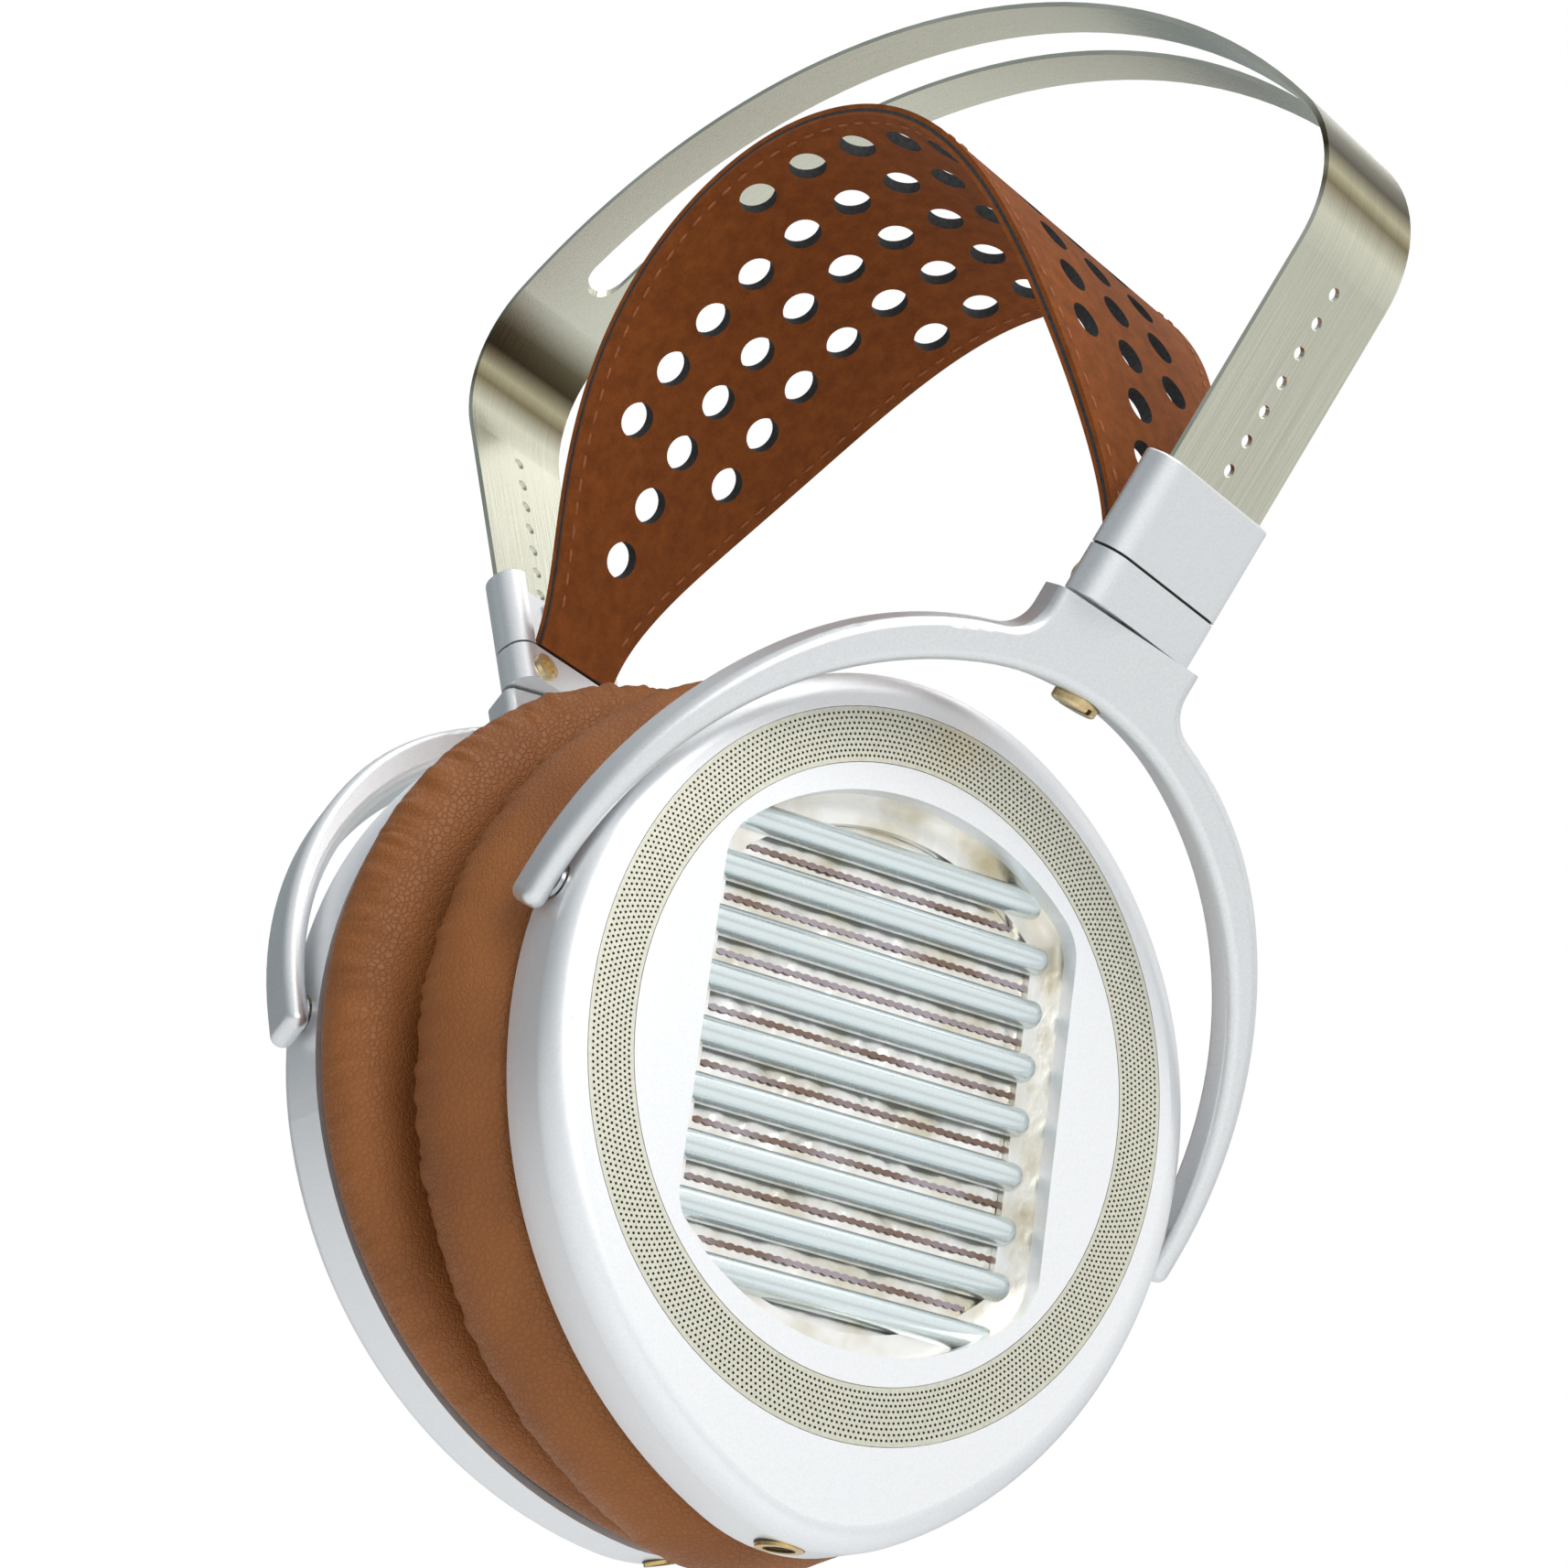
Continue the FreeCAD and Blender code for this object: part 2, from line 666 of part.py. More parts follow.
def make_housing():
    """The cup: an egg-shaped bowl, open towards the ear, with a window in its face."""
    body = new_body("cup_blank")
    face, depth = dim("face_out"), dim("rim_depth")
    back = face - depth
    pad(body, new_sketch(body, "YZ_Plane", egg(), back), cell("rim_depth"))
    round_edges(body, dim("rim_round"), lambda e: e.BoundBox.XMin > face - 1e-3)
    inside = egg(dim("cup_wall"))
    pocket(body, new_sketch(body, "YZ_Plane", inside, back), depth - dim("face_thick"), flip=True)
    pocket(body, new_sketch(body, "YZ_Plane", window(), face), cell("face_thick"))
    groove = [ellipse(dim("ring_half_width") + 0.1, dim("ring_half_height") + 0.1),
              ellipse(dim("ring_in_half_width") - 0.1, dim("ring_in_half_height") - 0.1)]
    pocket(body, new_sketch(body, "YZ_Plane", groove, face), cell("ring_thick"))
    tools = [cylinder(f"bush_seat_{k}", BUSH_RADIUS + dim("seat_play"), 12.0, on_pivot_axis(42.0 * k),
                      PIVOT_LINE * k) for k in (1, -1)]
    tools.append(cylinder("socket_seat", cell("socket_radius") + SEAT, 20.0,
                          (SOCKET_X, SOCKET_Y, -cup_foot() - 5), (0, 0, 1)))
    tools += screw_shanks("housing_bore", SCREW_SHANK + dim("seat_play"))
    return cut("cup_housing_form", body, tools)


BUSH_RADIUS = 2.6
BUSH_LENGTH = 5.0


def make_bushes():
    """The two pivot bushes in the rim."""
    bushes = []
    for k in (1, -1):
        bushes.append(tube(f"bush_{k}", BUSH_RADIUS,
                           cell("pin_radius") + " + " + cell("pin_play"), BUSH_LENGTH,
                           on_pivot_axis((50.4 - BUSH_LENGTH) * k), PIVOT_LINE * k))
    return group("pivot_bushes_form", bushes)


def make_grille_ring():
    shapes = [ellipse(dim("ring_half_width"), dim("ring_half_height")),
              ellipse(dim("ring_in_half_width"), dim("ring_in_half_height"))]
    return plate("grille_ring_form", shapes, dim("face_out") - dim("ring_thick"), cell("ring_thick"))


LEDGE = 3.6            # how far the frame's ledge reaches in from the window's sides
LEDGE_THICK = 1.3
FRAME_THICK = 4.0


def frame_back():
    return dim("face_out") - dim("face_thick") - FRAME_THICK


def ledge_top():
    return frame_back() + LEDGE_THICK


def make_driver_frame():
    """The frame behind the window, with a ledge that carries the bars' ends."""
    body = new_body("driver_frame_blank")
    outline = [ellipse(dim("frame_half_width"), dim("frame_half_height"))]
    pad(body, new_sketch(body, "YZ_Plane", outline, frame_back()), FRAME_THICK)
    front = frame_back() + FRAME_THICK
    pocket(body, new_sketch(body, "YZ_Plane", window(), front), FRAME_THICK - LEDGE_THICK)
    pocket(body, new_sketch(body, "YZ_Plane", window(LEDGE), front), FRAME_THICK)
    return cut("driver_frame_form", body, screw_shanks("driver_frame_bore", SCREW_SHANK + dim("seat_play")))


BAR_ROUND = 1.8        # the bars' outer edges, which makes them nearly half-round


def bar_half_length(height):
    """How long a bar can be at this height in the window."""
    edge = abs(height) + dim("bar_width") / 2
    room = math.sqrt(dim("window_radius") ** 2 - edge ** 2) - 0.2
    return min(dim("bar_half_length"), room)


def bar_heights():
    return [(i - (BARS - 1) / 2) * dim("bar_pitch") for i in range(BARS)]


def make_bar(name, height, low, rise):
    """One magnet bar: a nearly half-round rod with round ends, lying along y."""
    half = dim("bar_width") / 2
    length = bar_half_length(height)
    outline = rounded_box(-length, length, height - half, height + half, half - 0.1)
    body = plate(name, outline, low, rise)
    round_edges(body, BAR_ROUND, lambda e: e.BoundBox.XMin > low + rise - 1e-3)
    return body


def make_bars():
    bars = [make_bar(f"bar_{i}", z, ledge_top(), dim("bar_height"))
            for i, z in enumerate(bar_heights())]
    return group("magnet_bars_form", bars)


FOIL_THICK = 0.3
TRACE_THICK = 0.15
TRACE_WIDTH = 0.9


def make_diaphragm():
    """The foil, clamped between the driver's two frames."""
    outline = [ellipse(dim("window_radius") - 0.2, dim("window_radius") + 2.8)]
    return plate("diaphragm_form", outline, frame_back() - FOIL_THICK, FOIL_THICK)


def make_traces():
    """One conductor in each gap between bars."""
    strips = []
    for i, (low, high) in enumerate(zip(bar_heights(), bar_heights()[1:])):
        middle = (low + high) / 2
        half = bar_half_length(max(abs(low), abs(high))) - LEDGE
        corner = Vector(frame_back(), -half, middle - TRACE_WIDTH / 2)
        strips.append(box(f"trace_{i}", corner, TRACE_THICK, 2 * half, TRACE_WIDTH))
    return group("traces_form", strips)


REAR_THICK = 1.6
REAR_BAR_THICK = 1.2
SCREW_HEAD = 2.0
SCREW_SHANK = 0.8
SCREW_DEPTH = 7.4          # how far the screws' shanks reach, up into the cup's face


def rear_face():
    return frame_back() - FOIL_THICK - REAR_THICK


def make_rear_frame():
    """The plate behind the foil that holds it down and carries the rear bars."""
    outline = [ellipse(dim("frame_half_width"), dim("frame_half_height"))] + window(LEDGE)
    body = plate("rear_frame_blank", outline, rear_face(), REAR_THICK)
    return cut("rear_frame_form", body, screw_shanks("rear_frame_bore", SCREW_SHANK + dim("seat_play")))


def make_rear_bars():
    """Flat magnets across the back of the rear frame, facing the front bars."""
    bars = []
    for i, height in enumerate(bar_heights()[1:-1]):
        length = bar_half_length(height)
        corner = Vector(rear_face() - REAR_BAR_THICK, -length, height - 1.5)
        bars.append(box(f"rear_bar_{i}", corner, REAR_BAR_THICK, 2 * length, 3.0))
    return group("rear_bars_form", bars)


def screw_places():
    """Where the driver's six screws stand, near the edge of its frame."""
    places = []
    for i in range(6):
        angle = math.radians(30 + 60 * i)
        places.append(((dim("frame_half_width") - 3) * math.cos(angle),
                       (dim("frame_half_height") - 3) * math.sin(angle)))
    return places


def screw_shanks(name, radius):
    return [cylinder(f"{name}_{i}", radius, SCREW_DEPTH, (rear_face(), y, z), (1, 0, 0))
            for i, (y, z) in enumerate(screw_places())]


def make_frame_screws():
    """Six screws through both frames into the cup's face, with their heads on the rear frame."""
    screws = []
    for i, shank in enumerate(screw_shanks("screw_shank", SCREW_SHANK)):
        y, z = screw_places()[i]
        head = cylinder(f"screw_head_{i}", SCREW_HEAD, 0.9, (rear_face(), y, z), (-1, 0, 0))
        screws.append(fuse(f"frame_screw_{i}", shank, head))
    return group("frame_screws_form", screws)


def pad_back():
    """The plane where the cup's rim ends and the pad's mount begins."""
    return dim("face_out") - dim("rim_depth")


MOUNT_THICK = 1.2


def make_pad_mount():
    """The plate that closes the rim and takes the pad's skirt."""
    outline = egg(dim("cup_wall") + 0.05) + [ellipse(dim("pad_mouth_half_width") + 4, dim("pad_mouth_half_height") + 4)]
    return plate("pad_mount_form", outline, pad_back(), MOUNT_THICK)


def make_pad_piping():
    """The dark seam between rim and pad."""
    outline = egg(1.3) + [ellipse(dim("pad_mouth_half_width") + 9, dim("pad_mouth_half_height") + 9)]
    return plate("pad_piping_form", outline, pad_back() - 0.8, 0.75)


def make_ear_pad():
    """The ear pad, at its pressed thickness, with a round-edged mouth for the ear."""
    body = new_body("ear_pad_form")
    front = pad_back() - 0.85
    outline = egg(1.8) + [ellipse(dim("pad_mouth_half_width"), dim("pad_mouth_half_height"))]
    pad(body, new_sketch(body, "YZ_Plane", outline, front - dim("pad_thick")), cell("pad_thick"))
    round_edges(body, 3.0, lambda e: e.BoundBox.XMax < front - dim("pad_thick") + 1e-3)
    return body


def make_socket():
    """The jack socket in the cup's foot, bored for a 3.5 mm plug, with its mouth downwards."""
    mouth = -cup_foot() + 0.3
    outside = cylinder("socket_outside", cell("socket_radius"), cell("socket_length"),
                       (SOCKET_X, SOCKET_Y, mouth), (0, 0, 1))
    bore = cylinder("socket_bore_tool", cell("socket_bore"), cell("socket_length") + " - 1",
                    (SOCKET_X, SOCKET_Y, mouth), (0, 0, 1))
    return cut("jack_socket_form", outside, [bore])


def make_socket_collar():
    """The gold collar round the socket's mouth."""
    mouth = -cup_foot() + 0.3
    return tube("jack_collar_form", 3.3, 2.2, 0.5, (SOCKET_X, SOCKET_Y, mouth - 0.5), (0, 0, 1))


# ---------------------------------------------------------------- placing both sides

def stem_placement(mirror):
    """The stem frame in the object's frame, for the right (1) or the left (-1)."""
    tilt = Rotation(Vector(0, 1, 0), mirror * dim("splay"))
    return Placement(Vector(mirror * PIVOT.x, 0, PIVOT.z), tilt)


def yoke_placement(mirror):
    """Both yokes rest turned the same way about their bolts, so that the pads lie flat together."""
    bolt = Vector(-mirror * dim("swivel_in"), 0, 0)
    turn = Rotation(Vector(0, 0, 1), -dim("rest_swivel"))
    return stem_placement(mirror) * Placement(bolt, turn)


def face_placement(mirror):
    pivot = Vector(mirror * dim("pivot_out"), 0, 0)
    lean = Rotation(Vector(0, 1, 0), -mirror * dim("cup_lean"))
    cant = Rotation(Vector(1, 0, 0), dim("cup_cant"))
    centre = Vector(0, -dim("cup_aft"), -dim("cup_drop"))
    leaned = yoke_placement(mirror) * Placement(pivot, lean) * Placement(FLAT, cant)
    return leaned * Placement(centre, Rotation())


def mirrored(source, name):
    """The left-hand form of a right-hand piece, still in its local frame."""
    obj = doc.addObject("Part::Mirroring", name)
    obj.Source = source
    obj.Normal = Vector(1, 0, 0)
    obj.Base = FLAT
    return obj


def place_both(stem_name, form, placement):
    """The right and left nodes of one form."""
    left_form = mirrored(form, stem_name + "_left_form")
    doc.recompute()
    for side, source, mirror in (("right", form, 1), ("left", left_form, -1)):
        node = doc.addObject("Part::Compound", f"{stem_name}_{side}")
        node.Label = f"{stem_name}_{side}"
        node.Links = [source]
        node.Placement = placement(mirror)
        NODES.append(node)


NODES = [make_band(), make_strap()]

for node_name, form in (
    ("upper_block", make_upper_block()), ("lower_block", make_lower_block()),
    ("seam_shim", make_seam_shim()), ("swivel_washer", make_swivel_washer()),
    ("swivel_bolt", make_swivel_bolt()), ("clamp_screw", make_clamp_screw()),
    ("detent_ball", make_detent_ball()), ("detent_leaf", make_detent_leaf()),
    ("strap_tail", make_strap_tail()),
):
    place_both(node_name, form, stem_placement)

for node_name, form in (
    ("yoke", finish_yoke(make_yoke())), ("pivot_pins", make_pivot_pins()),
):
    place_both(node_name, form, yoke_placement)

for node_name, form in (
    ("cup_housing", make_housing()), ("pivot_bushes", make_bushes()),
    ("grille_ring", make_grille_ring()), ("driver_frame", make_driver_frame()),
    ("magnet_bars", make_bars()), ("diaphragm", make_diaphragm()), ("traces", make_traces()),
    ("rear_frame", make_rear_frame()), ("rear_bars", make_rear_bars()),
    ("frame_screws", make_frame_screws()), ("pad_mount", make_pad_mount()),
    ("pad_piping", make_pad_piping()), ("ear_pad", make_ear_pad()),
    ("jack_socket", make_socket()), ("jack_collar", make_socket_collar()),
):
    place_both(node_name, form, face_placement)

# ---------------------------------------------------------------- checks and export

doc.recompute()
for obj in doc.Objects:
    if "Invalid" in obj.State or "Error" in obj.State:
        raise ValueError(f"{obj.Name} failed: {obj.State}")
os.makedirs("parts", exist_ok=True)
for node in NODES:
    shape = node.Shape
    if shape.isNull() or not shape.isValid() or not shape.Solids:
        raise ValueError(f"{node.Label} has no valid solid")
    shape.exportStep(f"parts/{node.Label}.step")
print(f"{len(NODES)} nodes written")
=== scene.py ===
"""Open-back over-ear headphones: materials, soft goods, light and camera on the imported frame."""
import bpy
import bmesh
import math
from mathutils import Matrix, Vector, noise


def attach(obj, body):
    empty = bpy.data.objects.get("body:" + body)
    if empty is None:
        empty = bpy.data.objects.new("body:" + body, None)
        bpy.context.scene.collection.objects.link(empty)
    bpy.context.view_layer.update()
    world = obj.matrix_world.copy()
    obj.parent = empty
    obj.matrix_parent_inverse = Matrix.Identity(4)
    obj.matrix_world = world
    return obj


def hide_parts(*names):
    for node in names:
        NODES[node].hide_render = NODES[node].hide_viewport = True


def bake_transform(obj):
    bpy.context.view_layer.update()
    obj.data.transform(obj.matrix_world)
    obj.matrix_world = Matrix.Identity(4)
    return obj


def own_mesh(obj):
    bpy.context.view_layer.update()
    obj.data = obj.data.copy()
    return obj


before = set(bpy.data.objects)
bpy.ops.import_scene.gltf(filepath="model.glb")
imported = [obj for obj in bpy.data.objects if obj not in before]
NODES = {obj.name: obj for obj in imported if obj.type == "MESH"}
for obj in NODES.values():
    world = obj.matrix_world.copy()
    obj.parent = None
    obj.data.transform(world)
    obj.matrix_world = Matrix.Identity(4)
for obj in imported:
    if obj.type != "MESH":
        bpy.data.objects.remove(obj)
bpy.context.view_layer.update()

MM = 0.001
SIDES = (("right", 1), ("left", -1))

# ---------------------------------------------------------------- the object's own frames

SPLAY = math.radians(26.2)
SWIVEL = math.radians(19.1)
LEAN = math.radians(23.7)
CANT = math.radians(13.9)
HALF_SPAN = 22.98
EAR_LEVEL = 65.98        # the cups' pivot axes above their feet, where z is 0
SWIVEL_IN = 2.4
PIVOT_OUT = 1.4
CUP_AFT = 0.8
CUP_DROP = 1.8


def stem_frame(side):
    """x away from the head, y forwards, z up the straight side of the band; millimetres."""
    pivot = Matrix.Translation((side * HALF_SPAN, 0, EAR_LEVEL))
    return pivot @ Matrix.Rotation(side * SPLAY, 4, "Y")


def face_frame(side):
    """The cup's plane, turned in that plane with the cup."""
    yoke = stem_frame(side) @ Matrix.Translation((-side * SWIVEL_IN, 0, 0)) \
        @ Matrix.Rotation(-SWIVEL, 4, "Z")
    return yoke @ Matrix.Translation((side * PIVOT_OUT, 0, 0)) \
        @ Matrix.Rotation(-side * LEAN, 4, "Y") @ Matrix.Rotation(CANT, 4, "X") \
        @ Matrix.Translation((0, -CUP_AFT, -CUP_DROP))


def to_row(matrix, side):
    """Millimetres in a right-hand local frame to metres in the row frame, mirrored for the left."""
    flip = Matrix.Diagonal((side, 1, 1, 1))
    return Matrix.Scale(MM, 4) @ matrix @ flip


# ---------------------------------------------------------------- meshes

def new_piece(name, verts, faces, smooth=True):
    mesh = bpy.data.meshes.new(name)
    mesh.from_pydata([tuple(v) for v in verts], [], faces)
    mesh.validate()
    obj = bpy.data.objects.new(name, mesh)
    bpy.context.scene.collection.objects.link(obj)
    if smooth:
        mesh.polygons.foreach_set("use_smooth", [True] * len(mesh.polygons))
    fix_normals(mesh)
    return obj


def fix_normals(mesh):
    bm = bmesh.new()
    bm.from_mesh(mesh)
    bmesh.ops.recalc_face_normals(bm, faces=bm.faces)
    bm.to_mesh(mesh)
    bm.free()
    mesh.update()


def grid_faces(rows, cols, wrap_rows=False, wrap_cols=False):
    """Quads over a grid of vertices stored row by row."""
    faces = []
    for r in range(rows if wrap_rows else rows - 1):
        for c in range(cols if wrap_cols else cols - 1):
            a = r * cols + c
            b = r * cols + (c + 1) % cols
            d = ((r + 1) % rows) * cols + c
            e = ((r + 1) % rows) * cols + (c + 1) % cols
            faces.append((a, b, e, d))
    return faces


# ---------------------------------------------------------------- material building

class Shader:
    """A small helper that wires nodes of one material."""

    def __init__(self, name, base=(0.5, 0.5, 0.5), metallic=0.0, roughness=0.5):
        self.mat = bpy.data.materials.new(name)
        self.mat.use_nodes = True
        self.nodes = self.mat.node_tree.nodes
        self.links = self.mat.node_tree.links
        self.bsdf = self.nodes["Principled BSDF"]
        self.set("Base Color", (*base, 1))
        self.set("Metallic", metallic)
        self.set("Roughness", roughness)
        self.coords = self.nodes.new("ShaderNodeTexCoord")

    def set(self, socket, value):
        self.bsdf.inputs[socket].default_value = value

    def link(self, out, socket):
        self.links.new(out, socket)

    def mapped(self, scale=(1, 1, 1), rotation=(0, 0, 0)):
        """Object coordinates in millimetres, scaled and turned."""
        mapping = self.nodes.new("ShaderNodeMapping")
        mapping.vector_type = "POINT"
        mapping.inputs["Scale"].default_value = [1000 * s for s in scale]
        mapping.inputs["Rotation"].default_value = rotation
        self.link(self.coords.outputs["Object"], mapping.inputs["Vector"])
        return mapping.outputs["Vector"]

    def level(self, low, high):
        """The height of a point in the row frame, in millimetres, mapped to 0 to 1."""
        split = self.nodes.new("ShaderNodeSeparateXYZ")
        self.link(self.mapped(), split.inputs["Vector"])
        return self.map_range(split.outputs["Z"], low, high, 0, 1)

    def multiply(self, a, b):
        """One colour times another."""
        node = self.nodes.new("ShaderNodeMix")
        node.data_type = "RGBA"
        node.blend_type = "MULTIPLY"
        node.inputs[0].default_value = 1.0
        first, second = [i for i in node.inputs if i.type == "RGBA"]
        self.link(a, first)
        self.link(b, second)
        return [o for o in node.outputs if o.type == "RGBA"][0]

    def noise(self, vector, scale, detail=3.0, roughness=0.5):
        node = self.nodes.new("ShaderNodeTexNoise")
        node.inputs["Scale"].default_value = scale
        node.inputs["Detail"].default_value = detail
        node.inputs["Roughness"].default_value = roughness
        self.link(vector, node.inputs["Vector"])
        return node.outputs["Fac"]

    def voronoi(self, vector, scale, feature="F1"):
        node = self.nodes.new("ShaderNodeTexVoronoi")
        node.feature = feature
        node.inputs["Scale"].default_value = scale
        self.link(vector, node.inputs["Vector"])
        return node.outputs["Distance"]

    def ramp(self, fac, stops):
        """A colour ramp; stops are (position, colour)."""
        node = self.nodes.new("ShaderNodeValToRGB")
        elements = node.color_ramp.elements
        while len(elements) < len(stops):
            elements.new(0.5)
        for element, (position, colour) in zip(elements, stops):
            element.position = position
            element.color = (*colour, 1)
        self.link(fac, node.inputs["Fac"])
        return node.outputs["Color"]

    def map_range(self, value, low, high, to_low, to_high):
        node = self.nodes.new("ShaderNodeMapRange")
        for name, number in (("From Min", low), ("From Max", high),
                             ("To Min", to_low), ("To Max", to_high)):
            node.inputs[name].default_value = number
        self.link(value, node.inputs["Value"])
        return node.outputs["Result"]

    def math(self, operation, a, b):
        node = self.nodes.new("ShaderNodeMath")
        node.operation = operation
        for value, socket in ((a, node.inputs[0]), (b, node.inputs[1])):
            if isinstance(value, (int, float)):
                socket.default_value = value
            else:
                self.link(value, socket)
        return node.outputs["Value"]

    def bump(self, height, strength, distance_mm):
        node = self.nodes.new("ShaderNodeBump")
        node.inputs["Strength"].default_value = strength
        node.inputs["Distance"].default_value = distance_mm * MM
        self.link(height, node.inputs["Height"])
        last = self.bsdf.inputs["Normal"].links
        if last:
            self.link(last[0].from_socket, node.inputs["Normal"])
        self.link(node.outputs["Normal"], self.bsdf.inputs["Normal"])

    def colour(self, socket):
        self.link(socket, self.bsdf.inputs["Base Color"])

    def rough(self, socket):
        self.link(socket, self.bsdf.inputs["Roughness"])


def blasted(name, light, dark, roughness=0.36, metallic=0.85, sparkle=0.25):
    """Bead-blasted, clear-anodised aluminium: fine sparkle and a faint cloudiness."""
    s = Shader(name, light, metallic, roughness)
    v = s.mapped()
    s.colour(s.ramp(s.noise(v, 3.0, 4.0), [(0.3, dark), (0.7, light)]))
    s.rough(s.map_range(s.noise(v, 5.0, 2.0), 0.3, 0.7, roughness - 0.05, roughness + 0.06))
    s.bump(s.noise(v, 7.0, 2.0), sparkle, 0.02)
    s.bump(s.noise(s.mapped(), 0.05, 1.0), 0.1, 0.05)
    return s


def brushed_band():
    """Spring steel, brushed along its length, with a faint warm tint and painted dark-brown
    reflections across its bend.
    """
    s = Shader("band_steel", (0.72, 0.72, 0.66), 1.0, 0.3)
    long_grain = s.noise(s.mapped((0.04, 6.0, 0.04)), 1.0, 4.0, 0.6)
    steel = s.ramp(long_grain, [(0.25, (0.60, 0.60, 0.48)), (0.75, (0.80, 0.79, 0.66))])
    # painted reflection: dark brown stripes across the band's bend, multiplied into the steel's
    # colour
    bend_reflection = s.ramp(s.level(178, 202), [
        (0.0, (1, 1, 1)), (0.22, (1, 1, 0.98)), (0.40, (0.30, 0.25, 0.17)),
        (0.50, (0.70, 0.65, 0.52)), (0.64, (0.09, 0.07, 0.045)), (0.78, (0.22, 0.19, 0.14)),
        (1.0, (0.92, 0.93, 0.95))])
    s.colour(s.multiply(steel, bend_reflection))
    s.rough(s.map_range(long_grain, 0.3, 0.7, 0.2, 0.36))
    s.set("Anisotropic", 0.5)
    s.bump(long_grain, 0.12, 0.05)
    return s


def brass(name="brass"):
    s = Shader(name, (0.78, 0.60, 0.32), 1.0, 0.28)
    v = s.mapped()
    s.colour(s.ramp(s.noise(v, 1.2), [(0.3, (0.66, 0.48, 0.24)), (0.7, (0.84, 0.68, 0.40))]))
    s.bump(s.noise(v, 8.0), 0.1, 0.02)
    return s


def plain_metal(name, light, dark, roughness):
    s = Shader(name, light, 1.0, roughness)
    v = s.mapped()
    s.colour(s.ramp(s.noise(v, 1.5), [(0.3, dark), (0.7, light)]))
    s.bump(s.noise(v, 6.0), 0.1, 0.02)
    return s


def dull(name, light, dark, roughness=0.7):
    s = Shader(name, light, 0.0, roughness)
    v = s.mapped()
    s.colour(s.ramp(s.noise(v, 1.5), [(0.3, dark), (0.7, light)]))
    s.bump(s.noise(v, 4.0), 0.15, 0.05)
    return s


def leather():
    """Cognac pad leather: pebble grain with fine creases and a slow colour drift."""
    s = Shader("pad_leather", (0.40, 0.18, 0.07), 0.0, 0.48)
    v = s.mapped()
    drift = s.noise(v, 0.06, 3.0)
    s.colour(s.ramp(drift, [(0.3, (0.215, 0.071, 0.016)), (0.7, (0.300, 0.104, 0.024))]))
    grain = s.voronoi(v, 1.15, "DISTANCE_TO_EDGE")
    cells = s.map_range(grain, 0.0, 0.14, 0.0, 1.0)
    s.rough(s.map_range(grain, 0.0, 0.3, 0.62, 0.44))
    s.bump(cells, 0.55, 0.16)
    s.bump(s.noise(v, 2.6, 4.0), 0.35, 0.10)
    s.set("Specular IOR Level", 0.35)
    return s


def suede(name, light, dark):
    """Suede: a soft nap with mottled patches and no shine."""
    s = Shader(name, light, 0.0, 0.92)
    v = s.mapped()
    patches = s.noise(v, 0.35, 5.0, 0.65)
    nap = s.noise(v, 4.5, 3.0, 0.7)
    both = s.math("ADD", s.math("MULTIPLY", patches, 0.55), s.math("MULTIPLY", nap, 0.45))
    s.colour(s.ramp(both, [(0.36, dark), (0.64, light)]))
    s.set("Specular IOR Level", 0.15)
    s.set("Sheen Weight", 0.04)
    s.bump(nap, 0.5, 0.16)
    return s


def foil_film():
    """Thin metallised film."""
    s = Shader("foil_film", (0.90, 0.88, 0.80), 0.85, 0.22)
    v = s.mapped()
    s.colour(s.ramp(s.noise(v, 0.12, 3.0),
                    [(0.30, (0.74, 0.69, 0.56)), (0.58, (0.98, 0.97, 0.94))]))
    s.bump(s.noise(v, 0.9, 5.0, 0.6), 0.35, 0.12)
    return s


def track_metal():
    """Conductor tracks: matt grey-violet, browner in places; the dark brown is painted shade."""
    s = Shader("track_metal", (0.25, 0.2, 0.24), 0.6, 0.45)
    v = s.mapped()
    # painted shade: the dark brown stop, mixed in at random over the grey-violet
    s.colour(s.ramp(s.noise(v, 0.07, 1.0),
                    [(0.38, (0.22, 0.14, 0.11)), (0.60, (0.40, 0.34, 0.38))]))
    return s


M = {
    "spring": brushed_band(),
    "block": blasted("block_metal", (0.88, 0.89, 0.90), (0.80, 0.815, 0.835)),
    "yoke": blasted("yoke_metal", (0.80, 0.81, 0.82), (0.72, 0.735, 0.75)),
    "housing": blasted("cup_metal", (0.86, 0.87, 0.885), (0.80, 0.815, 0.835), 0.38, 0.7, 0.2),
    "grille": plain_metal("grille_metal", (0.72, 0.71, 0.60), (0.62, 0.61, 0.51), 0.38),
    "bars": blasted("bar_metal", (0.76, 0.83, 0.84), (0.73, 0.80, 0.81), 0.22, 0.8, 0.03),
    "steel": plain_metal("pin_steel", (0.66, 0.67, 0.69), (0.56, 0.57, 0.60), 0.25),
    "brass": brass(),
    "gold": plain_metal("collar_gold", (0.85, 0.62, 0.26), (0.74, 0.50, 0.18), 0.2),
    # painted shade: a black, matt material standing in for the shade in gaps and behind holes
    "black": dull("black_gap", (0.02, 0.02, 0.02), (0.01, 0.01, 0.01), 0.8),
    "plastic": dull("dark_plastic", (0.05, 0.05, 0.05), (0.03, 0.03, 0.03), 0.55),
    "piping": dull("welt", (0.075, 0.035, 0.02), (0.04, 0.018, 0.01), 0.6),
    "leather": leather(),
    "suede_in": suede("suede_inner", (0.250, 0.068, 0.012), (0.140, 0.036, 0.006)),
    "suede_out": suede("suede_outer", (0.270, 0.072, 0.010), (0.140, 0.036, 0.005)),
    # dark core layer of the strap's edge, also used as painted shade on the hole walls
    "core": dull("strap_core", (0.035, 0.035, 0.037), (0.015, 0.015, 0.017), 0.9),
    "thread": dull("thread", (0.36, 0.115, 0.035), (0.24, 0.07, 0.02), 0.8),
    "foil": foil_film(),
    "track": track_metal(),
}

